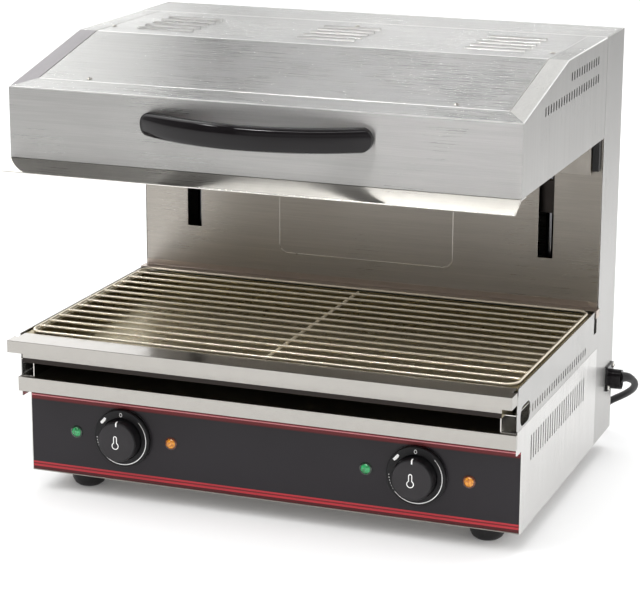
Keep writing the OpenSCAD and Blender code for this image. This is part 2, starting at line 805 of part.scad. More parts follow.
reflector_x = inner - 28;
reflector_y0 = hood_y + 30;
reflector_y1 = plate_y - 20;
tube_z = hood_z + tube_up;
run_y = reflector_y0 + (reflector_y1 - reflector_y0) / 2 - 1.5 * tube_pitch;
tube_x0 = 20 + tube_pitch / 2;
tube_x1 = reflector_x - 14 - tube_pitch / 2;
hanger_x = (tube_x0 + tube_x1) / 2;
leg_bend = 12;
leg_x = tube_x0 - leg_bend;

module reflector() color([0.8, 0.8, 0.8]) difference() {
    z1 = hood_z + reflector_up;
    union() {
        difference() {
            block([-reflector_x, reflector_y0, hood_z + sheet + seam], [reflector_x, reflector_y1, z1]);
            block([-reflector_x + sheet, reflector_y0 + sheet, hood_z],
                [reflector_x - sheet, reflector_y1 - sheet, z1 - sheet]);
        }
        difference() {
            block([-reflector_x - 14, reflector_y0 - 14, hood_z + sheet + seam],
                [reflector_x + 14, reflector_y1 + 14, hood_z + 2 * sheet + seam]);
            block([-reflector_x + sheet, reflector_y0 + sheet, hood_z],
                [reflector_x - sheet, reflector_y1 - sheet, z1]);
        }
    }
    // Holes for the heating tubes' legs
    for (x = [-leg_x, leg_x], i = [0, 3])
        bar_z(x, run_y + i * tube_pitch, z1 - sheet - 1, z1 + 1, tube_r + 0.4);
}

module insulation() color([0.9, 0.88, 0.8]) difference() {
    z0 = hood_z + reflector_up + seam;
    block([-reflector_x + 2, reflector_y0 + 20, z0], [reflector_x - 2, reflector_y1, z0 + 14]);
    for (x = [-leg_x, leg_x], i = [0, 3])
        bar_z(x, run_y + i * tube_pitch, z0 - 1, z0 + 15, tube_r + 1.5);
}

// A tube bent into four runs, with its legs going up through the reflector
module heating_element_right() color([0.3, 0.29, 0.28]) {
    for (i = [0:3])
        bar_x(tube_x0, tube_x1, run_y + i * tube_pitch, tube_z, tube_r);
    for (i = [0:2])
        translate([i % 2 == 0 ? tube_x1 : tube_x0, run_y + (i + 0.5) * tube_pitch, tube_z])
            rotate([0, 0, i % 2 == 0 ? -90 : 90]) rotate_extrude(angle = 180, $fn = 64)
                translate([tube_pitch / 2, 0]) circle(r = tube_r, $fn = 24);
    for (i = [0, 3]) {
        translate([tube_x0, run_y + i * tube_pitch, tube_z + leg_bend]) rotate([90, 180, 0])
            rotate_extrude(angle = 90, $fn = 64) translate([leg_bend, 0]) circle(r = tube_r, $fn = 24);
        bar_z(leg_x, run_y + i * tube_pitch, tube_z + leg_bend, hood_z + reflector_up + 18, tube_r);
    }
}

module heating_element_left() mirror([1, 0, 0]) heating_element_right();

module element_hangers() color(dark_steel) pair() difference() {
    block([hanger_x - 1, run_y - 12, tube_z - 8],
        [hanger_x + 1, run_y + 3 * tube_pitch + 12, hood_z + reflector_up - sheet]);
    for (i = [0:3])
        bar_x(hanger_x - 2, hanger_x + 2, run_y + i * tube_pitch, tube_z, tube_r + 0.3);
    for (i = [0:2])
        block([hanger_x - 2, run_y + i * tube_pitch + 14, tube_z - 9],
            [hanger_x + 2, run_y + (i + 1) * tube_pitch - 14, hood_z + reflector_up - sheet - 12]);
}

// ---------------------------------------------------------------- pan and grid

module drip_pan() color([0.5, 0.47, 0.38]) {
    difference() {
        block([-pan_half, pan_y, pan_z], [pan_half, pan_back_y, flange_z]);
        block([-pan_half + sheet, pan_y + sheet, pan_z + sheet],
            [pan_half - sheet, pan_back_y - sheet, flange_z + 1]);
    }
    pair() block([pan_half - sheet, side_y + 4, flange_z - sheet],
        [pan_half + pan_flange, pan_back_y, flange_z]);
}

module pan_rail() color(bright) {
    x = half + 1.6;
    z0 = flange_z + sheet - pan_rail_h - sheet;
    block([-x, pan_rail_y, z0], [x, pan_rail_y + sheet, flange_z + sheet]);
    block([-x, pan_rail_y, flange_z], [x, pan_rail_y + 18, flange_z + sheet]);
    block([-skin + 2, pan_rail_y, flange_z], [skin - 2, pan_rail_y + pan_rail_flat, flange_z + sheet]);
    block([-x, pan_rail_y, z0], [x, pan_rail_y + 9, z0 + sheet]);
    pair() block([x - sheet, pan_rail_y, z0], [x, pan_rail_y + 20, flange_z + sheet]);
}

module wire_grid() color([0.85, 0.81, 0.73]) {
    c = grid_corner;
    for (y = [grid_y, grid_back_y])
        bar_x(-grid_half + c, grid_half - c, y, grid_z, grid_r);
    pair() {
        bar_y(grid_half, grid_y + c, grid_back_y - c, grid_z, grid_r);
        translate([grid_half - c, grid_y + c, grid_z]) rotate([0, 0, -90])
            rotate_extrude(angle = 90, $fn = 48) translate([c, 0]) circle(r = grid_r, $fn = 24);
        translate([grid_half - c, grid_back_y - c, grid_z])
            rotate_extrude(angle = 90, $fn = 48) translate([c, 0]) circle(r = grid_r, $fn = 24);
    }
    for (i = [1:grid_n])
        bar_x(-grid_half, grid_half, grid_y + i * grid_step, grid_z, grid_r);
    bar_y(0, grid_y, pan_back_y - sheet - 1.5, grid_z - 1.7 * grid_r, grid_r);
}

// ---------------------------------------------------------------- controls

module thermostat(x) difference() {
    union() {
        bar_y(x, fascia_y - nut_t - 0.2, fascia_y + sheet + 1, control_z, bush_out_r);
        translate([x, fascia_y, control_z]) rotate([90, 0, 0]) cylinder(r = nut_r, h = nut_t, $fn = 6);
        block([x - 19, fascia_y + sheet, control_z - 19], [x + 19, fascia_y + 32, control_z + 19]);
    }
    bar_y(x, fascia_y - nut_t - 1, fascia_y + 26, control_z, spindle_r + spindle_fit);
}

module thermostat_left() color([0.8, 0.78, 0.7]) thermostat(-knob_x);
module thermostat_right() color([0.8, 0.78, 0.7]) thermostat(knob_x);

module spindle(x) bar_y(x, knob_y - knob_h + 5, fascia_y + 25.7, control_z, spindle_r);
module spindle_left() color([0.8, 0.8, 0.82]) spindle(-knob_x);
module spindle_right() color([0.8, 0.8, 0.82]) spindle(knob_x);

// A round knob, turned from one profile
module knob(x) translate([x, knob_y, control_z]) rotate([90, 0, 0]) difference() {
    rotate_extrude($fn = 72) polygon([[0, 0], [grip_r - 0.6, 0], [grip_r, 0.6],
        [grip_r, 3], [grip_r - 0.4, knob_h - 1.6], [grip_r - 1, knob_h - 0.5],
        [grip_r - 2, knob_h], [0, knob_h]]);
    translate([0, 0, -1]) cylinder(r = spindle_r + spindle_fit, h = knob_h - 3.7);
}

module knob_left() color(black) knob(-knob_x);
module knob_right() color(black) knob(knob_x);

module lamp(x) translate([x, fascia_y, control_z]) rotate([90, 0, 0]) {
    cylinder(r = lens_r, h = 1.4);
    translate([0, 0, 1.4]) cylinder(r1 = lens_r, r2 = lens_r - 2.2, h = 1.6);
    translate([0, 0, -24]) cylinder(r = lens_r - 1.8, h = 24);
}

module power_lamp_left() color([0.1, 0.6, 0.25]) lamp(-knob_x - lamp_dx);
module power_lamp_right() color([0.1, 0.6, 0.25]) lamp(knob_x - lamp_dx);
module heat_lamp_left() color([0.9, 0.55, 0.12]) lamp(-knob_x + lamp_dx);
module heat_lamp_right() color([0.9, 0.55, 0.12]) lamp(knob_x + lamp_dx);

module terminal_block() color([0.85, 0.83, 0.75]) difference() {
    x = foot_x - foot_top_r - 10;
    block([x - 70, gland_y - 34, floor_z + sheet], [x, gland_y - 6, floor_z + 26]);
    for (i = [0:4])
        bar_z(x - 9 - 13 * i, gland_y - 20, floor_z + 10, floor_z + 27, 3);
}

// ---------------------------------------------------------------- feet

module foot(x, y) translate([x, y, 0]) difference() {
    rotate_extrude() polygon([[0, 0], [foot_low_r, 0], [(foot_low_r + foot_top_r) / 2, 3],
        [foot_top_r - 1.5, 8], [foot_top_r, 15], [foot_top_r, foot_h], [0, foot_h]]);
    translate([0, 0, -1]) cylinder(r = foot_well_r, h = foot_well + 1);
    cylinder(r = foot_screw_r + 0.1, h = foot_h + 1);
}

module feet_front() color(black) pair() foot(foot_x, foot_front_y);
module feet_rear() color(black) pair() foot(foot_x, foot_rear_y);

// ---------------------------------------------------------------- cord

module cord_gland() color(black) difference() {
    union() {
        block([half, gland_y - 17, gland_z - 16.3], [half + 3, gland_y + 13, gland_z + 15.2]);
        bar_x(half - 10, half + 1, gland_y, gland_z, gland_r);
        // The clamp is deeper below the cord than above it.
        hull()
            for (drop = [0, gland_drop])
                bar_x(half + 1, gland_x, gland_y, gland_z - drop, gland_r);
    }
    bar_x(half - 11, gland_x + 1, gland_y, gland_z, cord_r + 0.3);
    for (p = gland_screw_at)
        bar_x(half - 1, half + 4, p.x, p.y, 1.8);
}

module power_cord() color(black)
    for (p = [cord_path, tail_path])
        swept_tube(p, [for (i = [0:len(p) - 1]) [0, 0, 1]], cord_r, 10);

module cord_coil() color(black) translate([coil_x, coil_y, 0.3])
    rotate_extrude($fn = 64) translate([coil_r, 0])
        round_2d(-1.6 * cord_d, 0, 1.6 * cord_d, 2.1 * cord_d, cord_r);

module mains_plug() color(black) translate(plug_at) rotate([0, 0, 176]) {
    block([0, -14, -12], [26, 14, 12]);
    for (y = [-9.5, 9.5])
        bar_x(26, 45, y, 0, 2.4);
}

floor_pan();
lower_side_left();
lower_side_right();
control_fascia();
front_rail();
base_cover();
upper_side_left();
upper_side_right();
runner_left();
runner_right();
column_front();
column_side_left();
column_side_right();
column_top();
back_cover();
rear_ledge();
rod_bracket_upper();
rod_bracket_lower();
guide_rod_left();
guide_rod_right();
spring_left();
spring_right();
feet_front();
feet_rear();
cabinet_screws();
thermostat_left();
thermostat_right();
power_lamp_left();
power_lamp_right();
heat_lamp_left();
heat_lamp_right();
terminal_block();
cord_gland();
hood_shell();
hood_cover();
hood_rear_panel();
hood_visor();
hood_handle();
hood_screws();
reflector();
insulation();
heating_element_left();
heating_element_right();
element_hangers();
lift_arm_left();
lift_arm_right();
carriage_left();
carriage_right();
bearing_bushes();
glide_pads();
drip_pan();
pan_rail();
wire_grid();
knob_left();
knob_right();
spindle_left();
spindle_right();
power_cord();
cord_coil();
mains_plug();
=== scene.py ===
"""Finishes the salamander grill: its sheets, handle, knobs, lamps, grid, lift, cord and stage."""

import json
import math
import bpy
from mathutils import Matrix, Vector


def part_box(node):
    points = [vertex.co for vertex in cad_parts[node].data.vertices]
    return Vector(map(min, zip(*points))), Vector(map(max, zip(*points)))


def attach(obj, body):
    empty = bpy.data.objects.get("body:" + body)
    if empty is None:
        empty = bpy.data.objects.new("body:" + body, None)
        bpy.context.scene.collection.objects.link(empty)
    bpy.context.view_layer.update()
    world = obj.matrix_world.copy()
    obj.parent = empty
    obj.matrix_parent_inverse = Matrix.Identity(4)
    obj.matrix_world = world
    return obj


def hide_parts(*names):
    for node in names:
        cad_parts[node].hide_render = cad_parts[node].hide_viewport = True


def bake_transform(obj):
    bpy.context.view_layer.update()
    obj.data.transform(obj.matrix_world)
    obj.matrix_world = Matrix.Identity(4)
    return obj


bl_info = {
    "name": "Salamander Grill",
    "version": (1, 0, 0),
    "blender": (4, 5, 0),
    "location": "View3D > Sidebar > Grill",
    "description": "Builds the visible pieces and finishes of a counter-top salamander grill",
    "category": "Object",
}

import bmesh
import bpy
from bpy.props import FloatProperty, FloatVectorProperty, IntProperty, PointerProperty
from mathutils import Matrix, Vector

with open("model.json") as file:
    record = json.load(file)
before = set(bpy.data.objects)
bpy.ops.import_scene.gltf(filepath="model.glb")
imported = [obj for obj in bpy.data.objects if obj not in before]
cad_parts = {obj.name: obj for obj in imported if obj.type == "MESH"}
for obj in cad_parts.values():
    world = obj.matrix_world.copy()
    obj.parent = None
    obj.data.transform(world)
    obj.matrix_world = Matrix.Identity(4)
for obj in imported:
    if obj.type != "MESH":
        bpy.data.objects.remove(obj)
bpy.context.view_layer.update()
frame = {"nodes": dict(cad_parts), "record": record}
NODES = frame["nodes"]
BODY_OF = {n: b for b, ns in frame["record"]["behaviour"]["bodies"].items() for n in ns}
MM = 0.001
WELD = 0.002 * MM  # vertices nearer than this are one


def linear(code):
    """The linear colour of an sRGB hex value."""
    parts = [int(code[i : i + 2], 16) / 255 for i in (1, 3, 5)]
    return tuple(c / 12.92 if c <= 0.04045 else ((c + 0.055) / 1.055) ** 2.4 for c in parts)


def shade(colour, share=1.0):
    """A shader's colour from an sRGB hex value or a linear colour, darkened to a share of it."""
    if isinstance(colour, str):
        colour = linear(colour)
    return (*[c * share for c in colour[:3]], 1.0)


def mm(*values):
    """A vector from values in millimetres."""
    return Vector([v * MM for v in values])


# ------------------------------------------------------------------ sizes and colours


class GrillSizes(bpy.types.PropertyGroup):
    edge: FloatProperty(
        name="Sheet edge", description="Rounding of the edges of the steel sheets",
        default=0.35 * MM, min=0.0, max=1.0 * MM, precision=5, unit="LENGTH")
    cord: FloatProperty(
        name="Cord", description="Diameter of the power cord",
        default=9 * MM, min=6 * MM, max=10 * MM, precision=4, unit="LENGTH")
    coil: FloatProperty(
        name="Coil", description="Radius of the coil at the middle of its turns",
        default=53 * MM, min=45 * MM, max=60 * MM, precision=4, unit="LENGTH")
    mark: FloatProperty(
        name="Print", description="Thickness of the printed marks of the dials",
        default=0.12 * MM, min=0.05 * MM, max=0.3 * MM, precision=5, unit="LENGTH")
    scale_r: FloatProperty(
        name="Scale", description="Radius of the scale round each knob",
        default=31.2 * MM, min=29 * MM, max=33 * MM, precision=4, unit="LENGTH")
    facets: IntProperty(
        name="Lens facets", description="Number of cut faces round a lamp's lens",
        default=12, min=6, max=24)


class GrillFinishes(bpy.types.PropertyGroup):
    steel: FloatVectorProperty(
        name="Brushed steel", description="Colour of the casing's brushed stainless steel",
        subtype="COLOR", default=linear("#bdbcba"), min=0, max=1)
    bright: FloatVectorProperty(
        name="Polished steel", description="Colour of the runners, the reflector and the screws",
        subtype="COLOR", default=linear("#d9d6d0"), min=0, max=1)
    fascia: FloatVectorProperty(
        name="Fascia", description="Ground colour of the control fascia's film",
        subtype="COLOR", default=linear("#1d191d"), min=0, max=1)
    stripe: FloatVectorProperty(
        name="Stripe", description="Colour of the fascia's red stripes",
        subtype="COLOR", default=linear("#a82a32"), min=0, max=1)
    handle: FloatVectorProperty(
        name="Handle", description="Colour of the glossy handle and of the cord gland",
        subtype="COLOR", default=linear("#0b080a"), min=0, max=1)
    knob: FloatVectorProperty(
        name="Knobs", description="Colour of the front faces of the knobs",
        subtype="COLOR", default=linear("#242224"), min=0, max=1)
    plug: FloatVectorProperty(
        name="Plug", description="Colour of the plug's moulded body",
        subtype="COLOR", default=linear("#1c1a1c"), min=0, max=1)


# ------------------------------------------------------------------ modelling helpers


def deselect():
    """Leaves edit mode and clears the selection."""
    if bpy.context.mode != "OBJECT":
        bpy.ops.object.mode_set(mode="OBJECT")
    bpy.ops.object.select_all(action="DESELECT")


def choose(obj):
    """Makes obj the only selected and active object."""
    deselect()
    obj.hide_set(False)
    obj.select_set(True)
    bpy.context.view_layer.objects.active = obj


def named(name):
    """The object that an operator has just added, with its own name."""
    obj = bpy.context.object
    obj.name = name
    obj.data.name = name
    return obj


def pick_faces(obj, test):
    """In edit mode, selects the faces that pass the test, which gets a face and its middle."""
    bpy.ops.mesh.select_mode(type="FACE")
    bpy.ops.mesh.select_all(action="DESELECT")
    mesh = bmesh.from_edit_mesh(obj.data)
    for face in mesh.faces:
        if test(face, face.calc_center_median()):
            face.select_set(True)
    mesh.select_flush_mode()
    bmesh.update_edit_mesh(obj.data)


def modify(obj, kind, **settings):
    """Adds a modifier and applies it."""
    choose(obj)
    modifier = obj.modifiers.new(kind.title(), kind)
    for key, value in settings.items():
        setattr(modifier, key, value)
    bpy.ops.object.modifier_apply(modifier=modifier.name)


def settle(obj, angle=35):
    """Puts the object's place into its mesh and smooths the faces that meet softly."""
    choose(obj)
    bpy.ops.object.transform_apply(location=True, rotation=True, scale=True)
    bpy.ops.object.shade_smooth_by_angle(angle=math.radians(angle))
    return obj


def drawn_line(name, points):
    """An open line of edges through the points, drawn by extruding one vertex."""
    deselect()
    bpy.ops.mesh.primitive_plane_add(size=0.01, location=(0, 0, 0))
    obj = named(name)
    bpy.ops.object.mode_set(mode="EDIT")
    bpy.ops.mesh.select_mode(type="VERT")
    bpy.ops.mesh.select_all(action="SELECT")
    bpy.ops.mesh.merge(type="CENTER")
    bpy.ops.transform.translate(value=points[0])
    for a, b in zip(points, points[1:]):
        bpy.ops.mesh.extrude_vertices_move(TRANSFORM_OT_translate={"value": Vector(b) - Vector(a)})
    return obj


def close_up():
    """Turns all faces of the mesh in edit mode outwards and leaves edit mode."""
    bpy.ops.mesh.select_all(action="SELECT")
    bpy.ops.mesh.normals_make_consistent(inside=False)
    deselect()


def extrude_all(way):
    """Extrudes all of the mesh in edit mode."""
    bpy.ops.mesh.select_all(action="SELECT")
    bpy.ops.mesh.extrude_region_move(TRANSFORM_OT_translate={"value": way})


def turned(name, profile, centre, axis, steps):
    """A solid of revolution. Its profile is a list of radii and heights along the axis, in mm."""
    axis = Vector(axis).normalized()
    side = Vector((0, 0, 1)) if abs(axis.z) < 0.9 else Vector((1, 0, 0))
    obj = drawn_line(name, [centre + side * (r * MM) + axis * (h * MM) for r, h in profile])
    bpy.ops.mesh.select_all(action="SELECT")
    bpy.ops.mesh.spin(steps=steps, angle=math.tau, center=centre, axis=axis)
    bpy.ops.mesh.select_all(action="SELECT")
    bpy.ops.mesh.remove_doubles(threshold=0.01 * MM)
    close_up()
    return settle(obj, 30)


def flat_shape(name, outline, thickness, move):
    """A thin solid. Its outline lies in X and Y, in mm. It is thickened along Z, then placed."""
    obj = drawn_line(name, [mm(x, y, 0) for x, y in outline])
    bpy.ops.mesh.select_all(action="SELECT")
    bpy.ops.mesh.edge_face_add()
    bpy.ops.mesh.extrude_region_move(TRANSFORM_OT_translate={"value": (0, 0, thickness)})
    close_up()
    obj.matrix_world = move
    return settle(obj, 30)


def round_curve(name, route, radius, widths=None, handles="AUTO", steps=8, roundness=4):
    """A curve of round section through places in mm. Each width scales the radius at its place."""
    deselect()
    bpy.ops.curve.primitive_bezier_curve_add(location=(0, 0, 0))
    obj = named(name)
    data = obj.data
    data.splines.clear()
    spline = data.splines.new("BEZIER")
    spline.bezier_points.add(len(route) - 1)
    for knot, place, width in zip(spline.bezier_points, route, widths or [1.0] * len(route)):
        knot.co = mm(*place)
        knot.radius = width
        knot.handle_left_type = knot.handle_right_type = handles
    data.dimensions = "3D"
    data.resolution_u = data.render_resolution_u = steps
    data.bevel_depth = radius
    data.bevel_resolution = roundness
    data.use_fill_caps = True
    return obj


def tube(name, route, radius, widths, handles):
    """A round curve that is made a mesh."""
    obj = round_curve(name, route, radius, widths, handles)
    bpy.ops.object.convert(target="MESH")
    return settle(obj, 50)


def joined(name, parts):
    """One object from several."""
    deselect()
    for part in parts:
        part.select_set(True)
    bpy.context.view_layer.objects.active = parts[0]
    bpy.ops.object.join()
    return named(name)


def place_face(place):
    """Turns a shape that is drawn in X and Y to face the front, at a place."""
    return Matrix.Translation(place) @ Matrix.Rotation(math.radians(90), 4, "X")


# ------------------------------------------------------------------ the frame's nodes

HOOD_LIP = 491  # height of the fold over the hood's front
HOOD_FRONT, HOOD_SIDE, HOOD_TOP = -195, 300, 530  # the planes of the hood's shell
SLOPE_END = -16  # where the hood's slope meets its level top, along Y
FOLD_RADIUS = 1.5 * MM
LONG_EDGE = 90  # only edges longer than this are folds


def shell_folds(a, b):
    """The hood's outer folds, at its front and along its sides."""
    at_front = max(a.y, b.y) < HOOD_FRONT + 0.1
    at_side = min(abs(a.x), abs(b.x)) > HOOD_SIDE - 0.1
    return 0.8 if min(a.z, b.z) > HOOD_LIP - 1 and (at_front or at_side) else 0.0


def cover_folds(a, b):
    """The louvred cover's shallow fold, and its cut edges."""
    return 0.9 if max(abs(a.y - SLOPE_END), abs(b.y - SLOPE_END)) < 3 else 0.3


def top_folds(a, b):
    """The front edge of the column's top."""
    low, high = (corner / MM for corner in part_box("column_top"))
    at_front = max(a.y, b.y) < low.y + 0.5 and min(a.z, b.z) > high.z - 0.5
    return 0.9 if at_front and abs(a.x - b.x) > 400 else 0.0


FOLDED = {"hood_shell": shell_folds, "hood_cover": cover_folds, "column_top": top_folds}


def mark_folds(obj, share):
    """Weighs each long sharp edge by the share of the fold's radius that it has. The sheet keeps
    the first of two material slots, and the second, a painted highlight, is for its folds."""
    obj.data.materials.clear()
    for _ in ("sheet", "folds"):
        obj.data.materials.append(None)
    obj.data.attributes.new("bevel_weight_edge", "FLOAT", "EDGE")
    bpy.ops.object.mode_set(mode="EDIT")
    bpy.ops.mesh.select_mode(type="EDGE")
    bpy.ops.mesh.select_all(action="DESELECT")
    bpy.ops.mesh.edges_select_sharp(sharpness=math.radians(8))
    bpy.ops.object.mode_set(mode="OBJECT")
    weights = obj.data.attributes["bevel_weight_edge"].data
    for edge in obj.data.edges:
        a, b = (obj.data.vertices[i].co / MM for i in edge.vertices)
        if edge.select and (a - b).length > LONG_EDGE:
            weights[edge.index].value = share(a, b)


def welded(node):
    """A copy of a CAD node in edit mode, with its loose triangles joined."""
    obj = bpy.data.objects.new(node + "_finished", NODES[node].data.copy())
    bpy.context.scene.collection.objects.link(obj)
    choose(obj)
    bpy.ops.object.mode_set(mode="EDIT")
    bpy.ops.mesh.select_all(action="SELECT")
    bpy.ops.mesh.remove_doubles(threshold=WELD)
    return obj


def softened(node, width=0.0):
    """A copy of a CAD node that replaces it, with its folds and its sharp edges rounded."""
    obj = welded(node)
    bpy.ops.mesh.dissolve_limited(angle_limit=math.radians(0.5))
    bpy.ops.object.mode_set(mode="OBJECT")
    bpy.ops.mesh.customdata_custom_splitnormals_clear()
    if node in FOLDED:
        mark_folds(obj, FOLDED[node])
        modify(obj, "BEVEL", width=FOLD_RADIUS, segments=2, limit_method="WEIGHT", material=1,
               use_clamp_overlap=False)
    if width:
        modify(obj, "BEVEL", width=width, segments=2, limit_method="ANGLE",
               angle_limit=math.radians(32), use_clamp_overlap=True)
    settle(obj, 40)
    if width:
        modify(obj, "WEIGHTED_NORMAL", keep_sharp=True, weight=90)
    if node not in FOLDED:
        obj.data.materials.clear()
    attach(obj, BODY_OF[node])
    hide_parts(node)
    return obj


# ------------------------------------------------------------------ finishes


def feed(node, inputs):
    """Sets inputs of a node. One that is another node's output is linked, any other is a value."""
    for key, value in inputs.items():
        if isinstance(value, bpy.types.NodeSocket):
            node.id_data.links.new(value, node.inputs[key])
        else:
            node.inputs[key].default_value = value


def add(tree, kind, inputs=None, out=0, **settings):
    """Adds a node with its settings and inputs, and returns one of its outputs."""
    node = tree.nodes.new(kind)
    for key, value in settings.items():
        setattr(node, key, value)
    feed(node, inputs or {})
    return node.outputs[out]


def new_material(name):
    """A material with its shader and the object's own coordinates."""
    material = bpy.data.materials.new(name)
    material.use_nodes = True
    tree = material.node_tree
    shader = tree.nodes["Principled BSDF"]
    return material, tree, shader, add(tree, "ShaderNodeTexCoord", out="Object")


def pattern(tree, place, cells, detail=2.0, roughness=0.5):
    """A noise with this many cells in a metre, along X, Y and Z or the same along all three."""
    scale = cells if isinstance(cells, tuple) else (cells,) * 3
    at = add(tree, "ShaderNodeMapping", {"Vector": place, "Scale": scale})
    return add(tree, "ShaderNodeTexNoise", {
        "Vector": at, "Scale": 1.0, "Detail": detail, "Roughness": roughness}, "Fac")


def span(tree, noise, low, high, start=0.35, end=0.65):
    """Stretches a noise, whose values lie near the middle, to run from low to high."""
    return add(tree, "ShaderNodeMapRange", {
        "Value": noise, "From Min": start, "From Max": end, "To Min": low, "To Max": high})


def blend_tones(tree, noise, dark, light):
    """A colour that goes from dark to light with a noise."""
    share = span(tree, noise, 0.0, 1.0)
    return add(tree, "ShaderNodeMix", {0: share, 6: dark, 7: light}, 2, data_type="RGBA")


STROKES = (1100.0, 18.0)  # cells in a metre across and along a brushing: 0.9 by 56 mm
BANDS = (150.0, 3.0)  # 7 by 330 mm


def along_axis(cells, axis):
    """The cells along X, Y and Z of a pattern that is drawn out along one axis."""
    across, along = cells
    return tuple(along if name == axis else across for name in "XYZ")


def brushed_stainless(name, colour, along, rough):
    """Stainless sheet brushed along one axis, and upright on the faces that look along it. The
    belt leaves strokes of 20 to 60 mm that are about 0.1 mm wide. They are drawn 0.9 mm wide,
    because finer ones don't show. They spread a reflection across the grain and keep it sharp
    along the grain, and soft clouds come from the rolling."""
    material, tree, shader, place = new_material(name)
    other = "X" if along == "Z" else "Z"
    main_way, end_way = [tuple(float(name == axis) for name in "XYZ") for axis in (along, other)]
    facing = add(tree, "ShaderNodeNewGeometry", out="True Normal")
    towards = add(tree, "ShaderNodeVectorMath", {0: facing, 1: main_way}, "Value",
                  operation="DOT_PRODUCT")
    towards = add(tree, "ShaderNodeMath", {0: towards}, operation="ABSOLUTE")
    at_end = add(tree, "ShaderNodeMath", {0: towards, 1: 0.7}, operation="GREATER_THAN")
    grain_way = add(tree, "ShaderNodeMix", {0: at_end, 6: (*main_way, 1.0), 7: (*end_way, 1.0)}, 2,
                    data_type="RGBA")
    across = add(tree, "ShaderNodeVectorMath", {0: facing, 1: grain_way}, operation="CROSS_PRODUCT")

    def brushing(cells, *noise):
        """A pattern along the brushing, turned on the faces that look along it."""
        main, end = [pattern(tree, place, along_axis(cells, axis), *noise)
                     for axis in (along, other)]
        return add(tree, "ShaderNodeMix", {0: at_end, 2: main, 3: end})

    strokes, bands = brushing(STROKES, 3.0, 0.6), brushing(BANDS, 2.0)
    clouds = pattern(tree, place, 7.0, 3.0)
    grain = blend_tones(tree, strokes, shade(colour, 0.9), shade(colour))
    soft = blend_tones(tree, bands, (0.95, 0.95, 0.95, 1), (1, 1, 1, 1))
    tone = add(tree, "ShaderNodeMix", {0: 1.0, 6: grain, 7: soft}, 2, data_type="RGBA",
               blend_type="MULTIPLY")
    spread = add(tree, "ShaderNodeMath", {
        0: span(tree, strokes, rough - 0.02, rough + 0.03),
        1: span(tree, clouds, -0.02, 0.02)}, operation="ADD")
    relief = add(tree, "ShaderNodeBump", {
        "Height": strokes, "Distance": 0.002 * MM, "Strength": 0.3})
    feed(shader, {"Base Color": tone, "Metallic": 1.0, "Roughness": spread, "Anisotropic": 0.97,
                  "Tangent": across, "Normal": relief})
    return material


def polished_metal(name, colour, rough, cloud=0.04, waves=14.0, metallic=1.0):
    """Polished or bright-rolled metal: nearly a mirror, with a faint wave from the rolls and
    rubbed patches of 17 mm where the gloss is softer."""
    material, tree, shader, place = new_material(name)
    wave = pattern(tree, place, waves, 2.0)
    rub = pattern(tree, place, 60.0, 4.0, 0.6)
    feed(shader, {
        "Base Color": blend_tones(tree, rub, shade(colour, 0.93), shade(colour)),
        "Metallic": metallic,
        "Roughness": span(tree, rub, rough - cloud, rough + cloud),
        "Normal": add(tree, "ShaderNodeBump", {
            "Height": wave, "Distance": 0.02 * MM, "Strength": 1.0})})
    return material


def moulded(name, colour, rough, grit, depth, sheen=0.0):
    """A moulded plastic or rubber. The mould gives it fine grains, which are drawn 0.6 to 1.4 mm
    wide to show, as many in a metre as grit says and as deep in millimetres as depth says. Hands
    leave slightly duller and lighter patches of 29 mm."""
    material, tree, shader, place = new_material(name)
    grains = pattern(tree, place, grit, 3.0, 0.6)
    worn = pattern(tree, place, 35.0, 4.0, 0.6)
    lighter = [min(1.0, c * 1.3 + 0.001) for c in shade(colour)[:3]]
    feed(shader, {
        "Base Color": blend_tones(tree, worn, shade(colour), shade(lighter)),
        "Roughness": span(tree, worn, rough - 0.05, rough + 0.06),
        "IOR": 1.5, "Specular IOR Level": 0.3, "Sheen Weight": sheen,
        "Normal": add(tree, "ShaderNodeBump", {
            "Height": grains, "Distance": depth * MM, "Strength": 1.0})})
    return material


def lens_plastic(name, colour, deep, glow):
    """A cut lens of clear coloured acrylic over a dark lamp: bright and deep patches of 2 mm are
    painted glints of its facets, its faint glow is painted light, and the surface is very smooth."""
    material, tree, shader, place = new_material(name)
    painted_glints = pattern(tree, place, 420.0, 1.0)
    share = span(tree, painted_glints, 0.0, 1.0, 0.4, 0.6)
    tone = add(tree, "ShaderNodeMix", {0: share, 6: shade(deep), 7: shade(colour)}, 2,
               data_type="RGBA")
    feed(shader, {"Base Color": tone, "Emission Color": tone, "Emission Strength": glow,
                  "Roughness": 0.12, "IOR": 1.49, "Coat Weight": 0.6})
    return material


